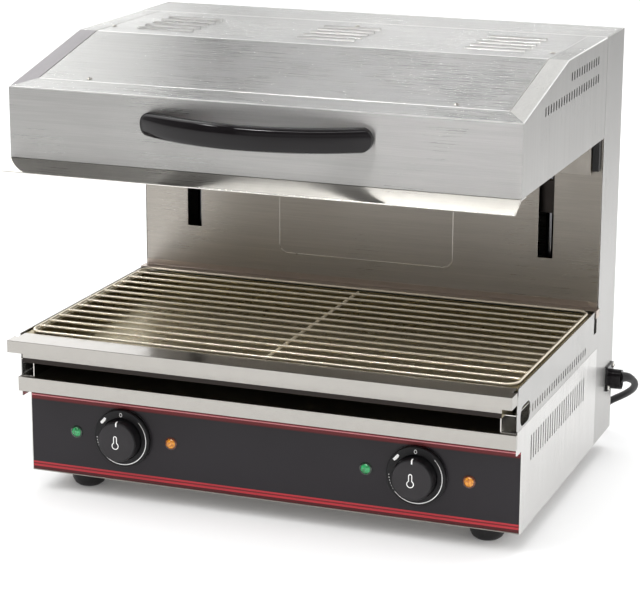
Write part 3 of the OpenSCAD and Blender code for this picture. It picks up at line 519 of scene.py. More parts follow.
def fascia_film(name, ground, stripe):
    """A printed polycarbonate film glued to the sheet: satin, with a pebble that is drawn 0.6 mm
    wide to show, and with its colours laid in level bands, one of them a painted highlight."""
    material, tree, shader, place = new_material(name)
    height = add(tree, "ShaderNodeSeparateXYZ", {0: place}, "Z")
    low, high = (corner.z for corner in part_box("control_fascia"))
    up = add(tree, "ShaderNodeMapRange", {"Value": height, "From Min": low, "From Max": high})
    colours = add(tree, "ShaderNodeValToRGB", {0: up})
    ramp = colours.node.color_ramp
    ramp.interpolation = "CONSTANT"
    red, deep, maroon = [shade(stripe, share) for share in (1.0, 0.34, 0.16)]
    # Each band starts at a height in millimetres over the sheet's lower edge. The pale pink band
    # near the top is a painted highlight, the rail's reflection.
    bands = [(0.0, maroon), (3.4, red), (5.7, deep), (7.6, red), (9.5, shade(ground)),
             (86.6, maroon), (87.6, deep), (91.1, shade("#d9868a")), (92.6, deep)]
    for k, (start, colour) in enumerate(bands):
        at = start * MM / (high - low)
        band = ramp.elements[k] if k < 2 else ramp.elements.new(at)
        band.position, band.color = at, colour
    haze = pattern(tree, place, 12.0, 3.0)
    tint = blend_tones(tree, haze, (0.9, 0.9, 0.94, 1), (1, 1, 1, 1))
    pebble = pattern(tree, place, 1800.0, 2.0)
    feed(shader, {
        "Base Color": add(tree, "ShaderNodeMix", {0: 1.0, 6: colours, 7: tint}, 2,
                          data_type="RGBA", blend_type="MULTIPLY"),
        "Roughness": span(tree, haze, 0.34, 0.44), "IOR": 1.58, "Specular IOR Level": 0.25,
        "Normal": add(tree, "ShaderNodeBump", {
            "Height": pebble, "Distance": 0.02 * MM, "Strength": 1.0})})
    return material


def mineral_wool(name, colour):
    """Needled mineral wool: matt pale fibres of a few millimetres, in loose tufts."""
    material, tree, shader, place = new_material(name)
    fibres = pattern(tree, place, (700.0, 160.0, 300.0), 5.0, 0.7)
    feed(shader, {
        "Base Color": blend_tones(tree, fibres, shade(colour, 0.72), shade(colour)),
        "Roughness": 0.95,
        "Normal": add(tree, "ShaderNodeBump", {
            "Height": fibres, "Distance": 0.8 * MM, "Strength": 1.0})})
    return material


FINISH = {}


def finishes():
    """All finishes by their name. They are made once."""
    if FINISH:
        return FINISH
    f = bpy.context.scene.grill_finishes
    FINISH.update({
        # Casing sheets: grey, with bands of light across the way of the brushing
        "steel_x": brushed_stainless("Brushed stainless along X", f.steel, "X", 0.30),
        "steel_z": brushed_stainless("Brushed stainless along Z", f.steel, "Z", 0.24),
        # The lower sides are painted paler than the upper ones: a painted reflection of the bright
        # floor
        "side_painted_light": brushed_stainless("Painted-lit brushed stainless along Z", "#dddcda", "Z", 0.24),
        # The column's sheet stands over the grid, and the heat has given it a faint straw tone
        "column": brushed_stainless("Warm brushed stainless", "#b9b3ab", "X", 0.30),
        # Tops face the light: pale and even, a paleness that is painted light
        "cover": brushed_stainless("Painted-lit brushed stainless", "#c9c9c7", "X", 0.28),
        # The hood's side borders: painted shade makes the left one a little darker, and painted
        # light makes the right one nearly white
        "border": brushed_stainless("Shade-painted brushed stainless along Y", "#b6b2b5", "Y", 0.30),
        "border_lit": brushed_stainless("Painted-lit brushed stainless along Y", "#fbfaf6", "Y", 0.30),
        # Where a sheet is folded, a thin white line is painted as a highlight
        "fold": polished_metal("Painted fold highlight", "#fffefc", 0.32, 0.03),
        # Pressed ribs have lost their brushing: soft lights without bands. The rounded edge of the
        # column's pressing is drawn near white as a painted highlight
        # The louvres are painted a little darker than the cover, as painted shade
        "louvre": polished_metal("Pressed louvre steel", "#b4b3b1", 0.5, 0.03),
        "pressing_highlight": polished_metal("Painted pressing highlight", "#d8d4cd", 0.3, 0.03),
        # Bright-rolled and polished strips: they mirror the room, the visor most of all
        "rail": polished_metal("Bright-rolled stainless", "#aaa7a2", 0.2),
        "bright": polished_metal("Polished stainless", f.bright, 0.14),
        "mirror": polished_metal("Mirror stainless", "#f2efe9", 0.05, 0.02),
        # Mild steel inside and under the casing: dull, and brown near the heat. The black one is
        # painted shade, on the carriages, the pan's lower front and the notch's liner
        "plain": polished_metal("Plain steel", "#9b968f", 0.36, 0.06),
        "black": polished_metal("Shade-painted black steel", "#332f2d", 0.36, 0.05),
        "ledge": polished_metal("Heat-tinted steel", "#bbafa5", 0.34, 0.02),
        "pan": polished_metal("Greased steel", "#9b9070", 0.3, 0.05, 30.0),
        # Plating keeps the wires pale, with a soft shine that is not quite a metal's
        "wire": polished_metal("Nickel-plated wire", "#f8eeda", 0.4, 0.04, metallic=0.75),
        # Parts of the lift and of the heating: oily grey rods, golden bushes, scaled dark tubes
        "chrome": polished_metal("Oiled rod steel", "#77777a", 0.2, 0.04),
        "spring": polished_metal("Spring wire", "#a9a8aa", 0.3, 0.06),
        "bronze": polished_metal("Sintered bronze", "#c39a5c", 0.42, 0.08),
        "tube": polished_metal("Oxidised heating tube", "#5d5753", 0.45, 0.08),
        # Phenolic: pressed smooth for the handle, fine-grained and duller for the rest
        "gloss": moulded("Glossy phenolic", f.handle, 0.08, 1500.0, 0.001),
        "knob": moulded("Satin phenolic", f.knob, 0.45, 1600.0, 0.01),
        # The ring's black is also on the knobs' sides, where it is painted shade
        "ring": moulded("Dull black ring", "#0f0e10", 0.5, 1600.0, 0.01),
        "matt": moulded("Matt phenolic", f.plug, 0.42, 1600.0, 0.01),
        # Rubber: soft black with a dusty edge
        "rubber": moulded("Black rubber", "#1c1b1c", 0.6, 900.0, 0.03, 0.1),
        # Ink on the knobs and round them: flat white
        "print": moulded("White print", "#e4e3e2", 0.45, 1500.0, 0.002),
        # Steatite: a cream ceramic, half matt
        "ceramic": moulded("Steatite", "#ded8c6", 0.35, 700.0, 0.04),
        # Lamps: clear colour in the lens, nearly black in the thick rim. The lamps are off, so
        # their faint glow is painted light
        "green": lens_plastic("Green acrylic", "#1f9455", "#136b38", 0.2),
        "amber": lens_plastic("Amber acrylic", "#d08824", "#a86414", 0.18),
        "green_rim": lens_plastic("Deep green acrylic", "#12301f", "#0d2618", 0.0),
        "amber_rim": lens_plastic("Deep amber acrylic", "#5a2a12", "#43200f", 0.1),
        "wool": mineral_wool("Mineral wool", "#e6dfcc"),
        "fascia": fascia_film("Printed film", f.fascia, f.stripe),
    })
    return FINISH


def finish_with(obj, finish):
    """Gives a piece its finish. Folds have their own."""
    materials = obj.data.materials
    if len(materials) == 2:
        materials[0], materials[1] = finishes()[finish], finishes()["fold"]
    else:
        materials.clear()
        materials.append(finishes()[finish])
        for face in obj.data.polygons:
            face.material_index = 0
    return obj


# ------------------------------------------------------------------ stage

CAMERA_PLACE = (0.9355, -2.4761, 0.9414)
CAMERA_YAW, CAMERA_PITCH, CAMERA_ROLL = (math.radians(a) for a in (-20.668, 15.276, 0.207))
FOCAL_LENGTH, SENSOR_WIDTH = 130.0, 36.0
FLOOR_SIZE, FLOOR_BACK = 24.0, 2.0
GLOW_NEAR, GLOW_FROM = 0.08, 0.9  # the paper's glow, and how far from the grill it starts to change
GLOW_SEEN, GLOW_MIRRORED = (3.0, 0.4), (2.2, 0.0)  # how far off it ends, and the glow there
BOARD_RADIUS = 7.0
LAMPS = (  # name, place, size, power and the point that the lamp looks at
    ("key", (-1.9, -1.9, 2.6), 2.4, 76.0, (0, 0, 0.25)),
    ("top", (0.3, 0.5, 3.0), 2.6, 52.0, (0, 0, 0.3)),
    ("fill", (2.6, -1.2, 1.4), 2.0, 44.0, (0, 0, 0.2)))

# How bright the boards are, from right (-1) to left (1): a place and the brightness there
FRONT_LOW = [(-1, 0.55), (0.28, 0.55), (0.35, 0.45), (0.4, 0.24), (0.46, 0.2),
             (0.5, 0.2), (1, 0.35)]
FRONT_HIGH = [(-1, 0.3), (1, 0.25)]
LAMP_BOX = [(-1, 0.12), (0.1, 0.25), (0.18, 1.0), (0.285, 1.0), (0.31, 0.5), (0.365, 0.45),
            (0.385, 0.005), (0.485, 0.005), (0.5, 0.4), (1, 0.3)]
BACK_LOW = [(-1, 1.15), (-0.25, 1.15), (0, 1.8), (0.33, 2.0), (0.37, 1.95), (0.385, 1.85),
            (0.41, 1.9), (0.45, 1.7), (1, 1.6)]
BACK_HIGH = [(-1, 0.72), (-0.2, 0.72), (0.1, 0.76), (0.3, 0.74), (0.35, 0.65), (0.375, 0.5),
             (0.394, 0.22), (0.41, 0.8), (0.43, 1.4), (0.46, 1.6), (1, 1.6)]
BACK_POWER, BOX_POWER, CORE_POWER = 1.2, 18.0, 80.0


class GRILL_OT_stage(bpy.types.Operator):
    """Adds the camera, the pale floor and the soft studio light"""

    bl_idname = "grill.stage"
    bl_label = "Stage"

    def execute(self, context):
        self.camera(context)
        self.floor()
        self.world(context)
        self.lamps()
        self.boards()
        context.scene.view_settings.view_transform = "Standard"
        return {"FINISHED"}

    def camera(self, context):
        """The camera looks along its yaw and pitch, and is rolled a little about that way."""
        ahead = Vector((math.sin(CAMERA_YAW) * math.cos(CAMERA_PITCH),
                        math.cos(CAMERA_YAW) * math.cos(CAMERA_PITCH), -math.sin(CAMERA_PITCH)))
        level = ahead.cross(Vector((0, 0, 1))).normalized()
        upright = level.cross(ahead)
        c, s = math.cos(CAMERA_ROLL), math.sin(CAMERA_ROLL)
        turn = Matrix((level * c + upright * s, upright * c - level * s, -ahead)).transposed()
        deselect()
        bpy.ops.object.camera_add(location=CAMERA_PLACE, rotation=turn.to_euler())
        lens = bpy.context.object
        lens.data.lens = FOCAL_LENGTH
        lens.data.sensor_width = SENSOR_WIDTH
        lens.data.clip_end = 60.0
        context.scene.camera = lens

    def seen(self, tree, *kinds):
        """1 for rays of these kinds, 0 for the others."""
        ray = add(tree, "ShaderNodeLightPath").node.outputs
        value = ray[kinds[0]]
        for kind in kinds[1:]:
            value = add(tree, "ShaderNodeMath", {0: value, 1: ray[kind]}, operation="MAXIMUM")
        return value

    def floor(self):
        """Matt white paper. It glows a little, so that it fades to white far off, but the glow
        gives the grill no light."""
        deselect()
        bpy.ops.mesh.primitive_plane_add(size=FLOOR_SIZE, location=(0, FLOOR_BACK, -0.4 * MM))
        ground = named("studio_floor")
        material, tree, shader, place = new_material("Studio paper")
        seen = self.seen(tree, "Is Camera Ray", "Is Glossy Ray", "Is Transmission Ray")
        away = add(tree, "ShaderNodeVectorMath", {0: place, 1: (0, FLOOR_BACK, 0)}, operation="ADD")
        away = add(tree, "ShaderNodeVectorMath", {0: away}, "Value", operation="LENGTH")
        direct, mirrored = [add(tree, "ShaderNodeMapRange", {
            "Value": away, "From Min": GLOW_FROM, "From Max": end, "To Min": GLOW_NEAR,
            "To Max": level}) for end, level in (GLOW_SEEN, GLOW_MIRRORED)]
        glow = add(tree, "ShaderNodeMix", {
            0: self.seen(tree, "Is Camera Ray"), 2: mirrored, 3: direct})
        glow = add(tree, "ShaderNodeMath", {0: seen, 1: glow}, operation="MULTIPLY")
        feed(shader, {"Base Color": (0.88, 0.88, 0.88, 1), "Roughness": 0.9,
                      "Specular IOR Level": 0.0, "Emission Color": (1, 1, 1, 1),
                      "Emission Strength": glow})
        ground.data.materials.append(material)

    def world(self, context):
        """A white room, which lights the grill a little less than it shows."""
        world = bpy.data.worlds.new("Studio")
        context.scene.world = world
        world.use_nodes = True
        tree = world.node_tree
        seen = self.seen(tree, "Is Camera Ray", "Is Glossy Ray", "Is Transmission Ray")
        level = add(tree, "ShaderNodeMapRange", {"Value": seen, "To Min": 0.66, "To Max": 1.0})
        feed(tree.nodes["Background"], {"Color": (1, 1, 1, 1), "Strength": level})

    def lamps(self):
        """Three large soft lamps, which reflections don't see."""
        for name, place, size, power, aim in LAMPS:
            deselect()
            bpy.ops.object.light_add(type="AREA", location=place)
            lamp = bpy.context.object
            lamp.name = "studio_" + name
            lamp.data.shape = "SQUARE"
            lamp.data.size = size
            lamp.data.energy = power
            lamp.visible_glossy = False
            away = Vector(aim) - Vector(place)
            lamp.rotation_euler = away.to_track_quat("-Z", "Y").to_euler()

    def boards(self):
        """Boards round the set, which only reflections see. Their brightness changes with the
        place from left to right, so that the brushed steel shows bands across its grain. A narrow
        lamp is high in front, and a dark gap is on the left behind."""
        deselect()
        bpy.ops.mesh.primitive_uv_sphere_add(
            segments=96, ring_count=48, radius=BOARD_RADIUS, location=(0, 0, 0))
        obj = named("studio_boards")
        material, tree, shader, place = new_material("Grey boards")
        axes = add(tree, "ShaderNodeSeparateXYZ", {0: place}).node.outputs
        left = add(tree, "ShaderNodeMath", {0: axes["X"], 1: -BOARD_RADIUS}, operation="DIVIDE")
        rise = add(tree, "ShaderNodeMath", {0: axes["Z"], 1: BOARD_RADIUS}, operation="DIVIDE")
        middle = self.bands(tree, left, FRONT_HIGH)
        box = self.bands(tree, left, LAMP_BOX, BOX_POWER)
        core = self.bands(tree, left, LAMP_BOX, CORE_POWER)
        front = self.bands(tree, left, FRONT_LOW)
        # Each takes over between two heights, which are shares of the radius.
        for start, end, level in ((0.3, 0.4, middle), (0.82, 0.825, box), (0.846, 0.847, core),
                                  (0.857, 0.858, box), (0.885, 0.89, middle)):
            front = self.above(tree, rise, start, end, front, level)
        back = self.above(tree, rise, 0.25, 0.36, self.bands(tree, left, BACK_LOW, BACK_POWER),
                          self.bands(tree, left, BACK_HIGH))
        behind = add(tree, "ShaderNodeMapRange", {
            "Value": axes["Y"], "From Min": -0.4, "From Max": 0.4})
        light = add(tree, "ShaderNodeMix", {0: behind, 2: front, 3: back})
        tree.nodes.remove(shader)
        glow = add(tree, "ShaderNodeEmission", {"Strength": light})
        feed(tree.nodes["Material Output"], {"Surface": glow})
        obj.data.materials.append(material)
        obj.visible_camera = obj.visible_diffuse = obj.visible_shadow = False
        obj.visible_transmission = False

    def above(self, tree, rise, start, end, below, over):
        """Changes from one brightness to another where the board is higher than start."""
        at = add(tree, "ShaderNodeMapRange", {"Value": rise, "From Min": start, "From Max": end})
        return add(tree, "ShaderNodeMix", {0: at, 2: below, 3: over})

    def bands(self, tree, left, stops, power=1.0):
        """A brightness that changes evenly from one stop to the next. The curve ends at 1, so it
        holds half of each place and brightness."""
        at = add(tree, "ShaderNodeMapRange", {"Value": left, "From Min": -1.0})
        value = add(tree, "ShaderNodeFloatCurve", {"Value": at})
        mapping = value.node.mapping
        curve = mapping.curves[0]
        for k, (place, level) in enumerate(stops):
            knot = (place + 1) / 2, level / 2
            if k in (0, len(stops) - 1):
                curve.points[0 if k == 0 else -1].location = knot
            else:
                curve.points.new(*knot)
        for point in curve.points:
            point.handle_type = "VECTOR"
        mapping.update()
        return add(tree, "ShaderNodeMath", {0: value, 1: 2 * power}, operation="MULTIPLY")


# ------------------------------------------------------------------ cord

CORD_ROUTE = [
    (315.2, 225.2, 97.3), (317.6, 228.2, 96.9), (322.4, 234.5, 95.3), (326, 243.5, 90.6),
    (327.3, 255, 82.3), (323.7, 267.3, 72.7), (315.5, 278.8, 63), (303.6, 289, 53.2),
    (289.2, 296.5, 43.3), (275.5, 300.5, 32.5), (261.5, 300.6, 21.3), (247.8, 297, 11.9),
    (235, 290.8, 6.3), (223, 283.2, 4.9), (211.3, 275.8, 4.9), (199.3, 270.5, 4.9),
    (189.8, 268.2, 4.9)]
TAIL_ROUTE = [
    (160, 267.8, 14.2), (141, 269, 13), (122, 272, 9.5), (104, 277, 6.4), (87, 283, 5.6),
    (73, 289, 8.2), (60, 293, 12)]
PLUG_LONG, PLUG_WIDE, PLUG_HIGH = 26, 28, 23.6
PIN_SIDE = 9.5  # from the plug's middle to a pin
PIN_PROFILE = [(0, 20), (2.4, 20), (2.4, 43.6), (1.6, 44.8), (0, 45)]
COIL_CENTRE = (180, 330)
COIL_PITCH = 9.6  # from one turn to the next
COIL_LOW, COIL_HIGH = 4.9, 14.2  # height of the lower and of the upper layer
COIL_STEPS = 24  # points in a turn


def coil_points(radius):
    """Four turns from the outside in on the table, then up and from the inside out on top."""
    inner, points = radius - COIL_PITCH, []
    for i in range(4 * COIL_STEPS + 1):
        t = i / COIL_STEPS
        if t <= 2:
            r, z = radius + COIL_PITCH - COIL_PITCH * t, COIL_LOW
        else:
            outward = max(0.0, min(1.0, (t - 2.25) / 0.75)) + max(0.0, t - 3)
            r = inner + COIL_PITCH * outward
            u = min(1.0, (t - 2) / 0.25)
            z = COIL_LOW + (COIL_HIGH - COIL_LOW) * u * u * (3 - 2 * u)
        a = math.radians(-90) - math.tau * t
        points.append((COIL_CENTRE[0] + r * math.cos(a), COIL_CENTRE[1] + r * math.sin(a), z))
    return points


class GRILL_OT_cord(bpy.types.Operator):
    """Lays the power cord from its gland to the coil and the plug"""

    bl_idname = "grill.cord"
    bl_label = "Power cord"

    def execute(self, context):
        sizes = context.scene.grill_sizes
        points = CORD_ROUTE + coil_points(sizes.coil / MM) + TAIL_ROUTE
        cord = round_curve("mains_cord", points, sizes.cord / 2, steps=4, roundness=5)
        cord.data.materials.append(finishes()["rubber"])
        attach(cord, "cabinet")
        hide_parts("power_cord", "cord_coil")
        self.gland()
        plug = self.plug()
        return {"FINISHED"}

    def gland(self):
        """The gland is a plate with an oblong clamp. A tapered sleeve holds the cord's start."""
        finish_with(softened("cord_gland", 0.6 * MM), "gloss")
        sleeve = tube("strain_relief", CORD_ROUTE[:4], 6.6 * MM, (1.0, 0.97, 0.86, 0.75), "AUTO")
        finish_with(sleeve, "rubber")
        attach(sleeve, "cabinet")

    def plug(self):
        """The plug is a moulded body that narrows to the cord, with a grip and two pins."""
        deselect()
        bpy.ops.mesh.primitive_cube_add(size=1, location=mm(PLUG_LONG / 2, 0, 0))
        body = named("plug_body")
        body.scale = mm(PLUG_LONG, PLUG_WIDE, PLUG_HIGH)
        bpy.ops.object.transform_apply(location=True, rotation=True, scale=True)
        bpy.ops.object.mode_set(mode="EDIT")
        pick_faces(body, lambda f, m: f.normal.x < -0.9)
        bpy.ops.transform.resize(value=(1, 0.62, 0.66))
        bpy.ops.mesh.select_mode(type="EDGE")
        bpy.ops.mesh.select_all(action="SELECT")
        bpy.ops.mesh.bevel(offset=3.2 * MM, segments=3)
        pick_faces(body, lambda f, m: f.normal.x > 0.99)
        bpy.ops.mesh.inset(thickness=1.2 * MM)
        bpy.ops.mesh.extrude_region_move(TRANSFORM_OT_translate={"value": mm(-0.8, 0, 0)})
        settle(body)
        pins = [turned("plug_pin", PIN_PROFILE, mm(0, y, 0), (1, 0, 0), 20)
                for y in (-PIN_SIDE, PIN_SIDE)]
        plug = joined("mains_plug_moulded", [body, *pins])
        finish_with(plug, "matt")
        plug.data.materials.append(finishes()["chrome"])
        for face in plug.data.polygons:
            face.material_index = 1 if face.center.x > (PLUG_LONG + 0.1) * MM else 0
        turn = Matrix.Rotation(math.radians(176), 4, "Z")
        plug.data.transform(Matrix.Translation(mm(*TAIL_ROUTE[-1])) @ turn)
        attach(plug, "cabinet")
        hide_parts("mains_plug")
        return plug


# ------------------------------------------------------------------ casing and fittings


def both(piece, finish, slot):
    """The finish and the slot of a left and of a right node."""
    return {piece + side: (finish, slot) for side in ("_left", "_right")}


# Each node's finish and slot
SHEETS = {
    "hood_shell": ("steel_x", "brushed_steel"),
    "hood_cover": ("cover", "brushed_steel"),
    "hood_rear_panel": ("steel_x", "plain_steel"),
    "hood_visor": ("mirror", "polished_steel"),
    "floor_pan": ("plain", "plain_steel"),
    # The lower sides get a painted reflection of the bright floor
    **both("lower_side", "side_painted_light", "brushed_steel"),
    **both("upper_side", "steel_z", "brushed_steel"),
    "front_rail": ("rail", "polished_steel"),
    "base_cover": ("plain", "plain_steel"),
    **both("runner", "bright", "polished_steel"),
    "column_front": ("column", "brushed_steel"),
    **both("column_side", "steel_z", "brushed_steel"),
    "column_top": ("cover", "brushed_steel"),
    "back_cover": ("steel_x", "brushed_steel"),
    "rear_ledge": ("ledge", "plain_steel"),
    "drip_pan": ("pan", "plain_steel"),
    "pan_rail": ("rail", "polished_steel"),
    "reflector": ("bright", "polished_steel"),
    **both("lift_arm", "plain", "polished_steel"),
    # The carriages are painted black as shade, where they show through the column's slots
    **both("carriage", "black", "plain_steel"),
    "rod_bracket_upper": ("plain", "plain_steel"),
    "rod_bracket_lower": ("plain", "plain_steel"),
    "element_hangers": ("plain", "plain_steel"),
    "glide_pads": ("rubber", "black_rubber"),
    "control_fascia": ("fascia", "fascia_film")}
ROUND = {
    **both("guide_rod", "chrome", "rod_chrome"),
    "bearing_bushes": ("bronze", "bronze"),
    **both("heating_element", "tube", "heating_tube"),
    "wire_grid": ("wire", "polished_steel"),
    **both("spindle", "bright", "polished_steel"),
    "insulation": ("wool", "wool"),
    "terminal_block": ("ceramic", "ceramic"),
    **both("thermostat", "ceramic", "ceramic"),
    "feet_front": ("rubber", "black_rubber"),
    "feet_rear": ("rubber", "black_rubber")}
# How many times wider the edges of the sheets in full view are rounded
WIDER = {"hood_shell": 2.4, "pan_rail": 1.7, "front_rail": 1.7}
WIDER.update({piece + side: 1.7 for piece in ("lower_side", "upper_side", "column_side")
              for side in ("_left", "_right")})
BORDER_SIDE, BORDER_FRONT = 23, 28  # width of the hood's border at the sides and at the front
RING_RADIUS = 35.3  # of the raised rings round the knobs
FASCIA_FRONT = -165.6
PRESSING_HALF, PRESSING_FOOT, PRESSING_TOP, PRESSING_CORNER = 114, 233, 470, 12
PRESSING_FRONT = 162.1
POLISHED_FROM = 5.6  # over the drip pan's lower edge
NOTCH_UP, NOTCH_BACK = 13.5, 30  # the notch's middle from the sheet's lower front corner
LINER_HALF_LONG, LINER_HALF_HIGH, LINER_CORNER = 22, 13.2, 9


class GRILL_OT_casing(bpy.types.Operator):
    """Rounds the sheets' edges and gives each sheet its finish"""

    bl_idname = "grill.casing"
    bl_label = "Sheets"

    def execute(self, context):
        edge = context.scene.grill_sizes.edge
        dressed = {"control_fascia": self.rings, "hood_shell": self.mitre,
                   "hood_cover": self.louvres, "drip_pan": self.pan_front}
        for node, (finish, slot) in SHEETS.items():
            sheet = finish_with(softened(node, edge * WIDER.get(node, 1.0)), finish)
            if node in dressed:
                dressed[node](sheet)
        self.pressing()
        self.liner()
        return {"FINISHED"}

    def refinish(self, sheet, finish, test):
        """Gives the faces that pass the test, and have the sheet's first finish, another one."""
        index = len(sheet.data.materials)
        sheet.data.materials.append(finishes()[finish])
        for face in sheet.data.polygons:
            if face.material_index == 0 and test(face):
                face.material_index = index

    def rings(self, fascia):
        """The raised rings round the knobs are dull black, and the film is only on the front."""
        knobs = [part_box("knob_" + side) for side in ("left", "right")]
        centres = [((low.x + high.x) / 2, (low.z + high.z) / 2) for low, high in knobs]
        self.refinish(fascia, "ring", lambda f: f.center.y < (FASCIA_FRONT - 0.1) * MM and min(
            math.dist((f.center.x, f.center.z), centre) for centre in centres) < RING_RADIUS * MM)
        self.refinish(fascia, "steel_x", lambda f: f.normal.y > -0.5)

    def louvres(self, cover):
        """The pressed louvres stand over the cover's level part."""
        self.refinish(cover, "louvre", lambda f: f.center.z > (HOOD_TOP + 0.25) * MM)

    def mitre(self, shell):
        """The hood's side borders are brushed along Y and meet the front border in a mitre. The
        left border is painted shade and the right one painted light. The front border and the level
        part of the sides take the cover's paleness, which is painted light."""
        level = (HOOD_LIP - 3) * MM
        choose(shell)
        bpy.ops.object.mode_set(mode="EDIT")
        cuts = [(mm(-side * HOOD_SIDE, HOOD_FRONT, 0),
                 Vector((side * BORDER_FRONT, -BORDER_SIDE, 0)).normalized()) for side in (1, -1)]
        for corner, out in cuts:
            pick_faces(shell, lambda f, m: f.normal.z > 0.5 and m.z > level)
            bpy.ops.mesh.bisect(plane_co=corner, plane_no=out)
        bpy.ops.object.mode_set(mode="OBJECT")
        modify(shell, "WEIGHTED_NORMAL", keep_sharp=True, weight=90)
        # The left border gets painted shade, the right one painted light
        for finish, (corner, out) in zip(("border", "border_lit"), cuts):
            self.refinish(shell, finish, lambda f: (
                0.8 < f.normal.z < 0.99 and f.center.z > level and f.center.x * corner.x > 0
                and abs(f.center.x) > 270 * MM and (f.center - corner).dot(out) < 0))
        self.refinish(shell, "cover", lambda f: f.normal.z > 0.8 and f.center.z > level)

    def pan_front(self, pan):
        """The pan's front is polished just below its rail, and painted black lower down as shade.
        """
        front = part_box("drip_pan")[0].y
        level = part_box("drip_pan")[0].z + POLISHED_FROM * MM

        def in_front(face, middle):
            return face.normal.y < -0.7 and middle.y < front + 1 * MM

        choose(pan)
        bpy.ops.object.mode_set(mode="EDIT")
        pick_faces(pan, in_front)
        bpy.ops.mesh.bisect(plane_co=(0, 0, level), plane_no=(0, 0, 1))
        bpy.ops.object.mode_set(mode="OBJECT")
        self.refinish(pan, "rail", lambda f: in_front(f, f.center) and f.center.z > level)
        self.refinish(pan, "black", lambda f: in_front(f, f.center) and f.center.z < level)

    def pressing(self):
        """A painted highlight on the rounded edge of the rectangle that is pressed forward in the
        column's sheet: a near-white tube, widest along its foot and thinner up its sides."""
        r = PRESSING_CORNER
        corner = [(PRESSING_HALF - r + r * math.sin(a), PRESSING_FOOT + r - r * math.cos(a))
                  for a in [math.radians(15 * k) for k in range(7)]]
        half = corner + [(PRESSING_HALF, PRESSING_TOP)]
        route = [(side * x, PRESSING_FRONT, z) for side, points in ((-1, half[::-1]), (1, half))
                 for x, z in points]
        widths = [0.42, 0.42, 0.6, 0.75, 0.85, 0.95, 1.0, 1.0]
        pressing_highlight = tube("column_pressing_highlight", route, 1.3 * MM, widths + widths[::-1], "VECTOR")
        finish_with(pressing_highlight, "pressing_highlight")
        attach(pressing_highlight, "cabinet")

    def liner(self):
        """A thin plate behind the left finger notch, painted black as shade, so that no daylight
        shows through it.
        """
        low, high = (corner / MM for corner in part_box("upper_side_left"))
        y, z, r = low.y + NOTCH_BACK, low.z + NOTCH_UP, LINER_CORNER
        outline = [(y + a * (LINER_HALF_LONG - r) + r * math.cos(t),
                    z + b * (LINER_HALF_HIGH - r) + r * math.sin(t))
                   for a, b, start in ((1, 1, 0), (-1, 1, 90), (-1, -1, 180), (1, -1, 270))
                   for t in [math.radians(start + 15 * k) for k in range(7)]]
        move = Matrix(((0, 0, 1, high.x * MM), (1, 0, 0, 0), (0, 1, 0, 0), (0, 0, 0, 1)))
        plate = flat_shape("notch_liner", outline, 0.5 * MM, move)
        finish_with(plate, "black")
        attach(plate, "cabinet")


class GRILL_OT_fittings(bpy.types.Operator):
    """Smooths the rods, tubes, wires and blocks and gives each its finish"""

    bl_idname = "grill.fittings"
    bl_label = "Rods, tubes and blocks"

    def execute(self, context):
        for node, (finish, slot) in ROUND.items():
            piece = softened(node)
            if node == "wire_grid":  # half a millimetre off the radius of each wire
                modify(piece, "DISPLACE", strength=-0.5 * MM, mid_level=0.0)
            finish_with(piece, finish)
        return {"FINISHED"}


class GRILL_OT_springs(bpy.types.Operator):
    """Hangs the springs between the cabinet and the hood's carriages"""

    bl_idname = "grill.springs"
    bl_label = "Springs"

    def execute(self, context):
        for node in ("spring_left", "spring_right"):
            spring = welded(node)
            settle(spring, 60)
            finish_with(spring, "spring")
            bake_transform(spring)
            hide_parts(node)
        return {"FINISHED"}


SLOPE = Vector((0, -math.sin(math.radians(12.29)), math.cos(math.radians(12.29))))
HEAD_HIGH = 1.8
UP, BACK, RIGHT = Vector((0, 0, 1)), Vector((0, 1, 0)), Vector((1, 0, 0))
# Where each screw's head ends, in millimetres, and the way it looks
HOOD_HEADS = [(Vector((x, y, 531.8)), UP) for x, y in ((-271, 21), (271, 21), (0, 128.8))] + [
    (Vector((x, -160, 498.6)) + SLOPE * HEAD_HIGH, SLOPE) for x in (-216, 216)]
CABINET_HEADS = [(Vector((x, 245.8, z)), BACK) for x in (-292, 292) for z in (52.1, 225, 410, 504)]
CABINET_HEADS += [(Vector((304.9, y, z)), RIGHT) for y, z in ((215.5, 85.5), (236.5, 108.5))]
RECESS = (4.4, 0.9, 2.2)  # an arm's length and width, and twice its depth


class GRILL_OT_screws(bpy.types.Operator):
    """Cuts the cross recesses of the hood's, the back cover's and the gland's screws"""

    bl_idname = "grill.screws"
    bl_label = "Screws"

    def execute(self, context):
        for node, heads in (("hood_screws", HOOD_HEADS), ("cabinet_screws", CABINET_HEADS)):
            screws = softened(node)
            arms = [self.arm(top * MM, axis, turn) for top, axis in heads for turn in (25, 115)]
            for cutter in arms:
                modify(screws, "BOOLEAN", object=cutter, operation="DIFFERENCE", solver="EXACT")
                bpy.data.objects.remove(cutter)
            settle(screws, 30)
            finish_with(screws, "bright")
        return {"FINISHED"}

    def arm(self, top, axis, turn):
        """One arm of a cross recess."""
        deselect()
        bpy.ops.mesh.primitive_cube_add(size=1, location=(0, 0, 0))
        cutter = named("recess")
        away = axis.to_track_quat("Z", "Y").to_matrix().to_4x4()
        shape = Matrix.Rotation(math.radians(turn), 4, "Z") @ Matrix.Diagonal((*mm(*RECESS), 1.0))
        cutter.data.transform(Matrix.Translation(top) @ away @ shape)
        return cutter


# ------------------------------------------------------------------ handle, knobs and lamps

BOW_RADIUS, BOW_DEPTH = 230.7, 41.5
BOW_STEPS = 320  # round the whole ring
WINDOW_DEEP = 70
BAR_HALF_LONG, BAR_END = 135.5, 13.6  # the ends are rounded, as seen from the front
# The bar's section, as places outward from the bow's radius and upward
BAR_SECTION = [(7.5, -7), (7.2, -9.6), (6, -11.8), (3.6, -13.2), (0, -13.5), (-7, -13), (-7.5, 0),
               (-7, 13), (0, 13.5), (2.8, 13.2), (5, 12.1), (6.6, 10.2), (7.4, 7.6), (7.6, 4),
               (7.6, 0)]


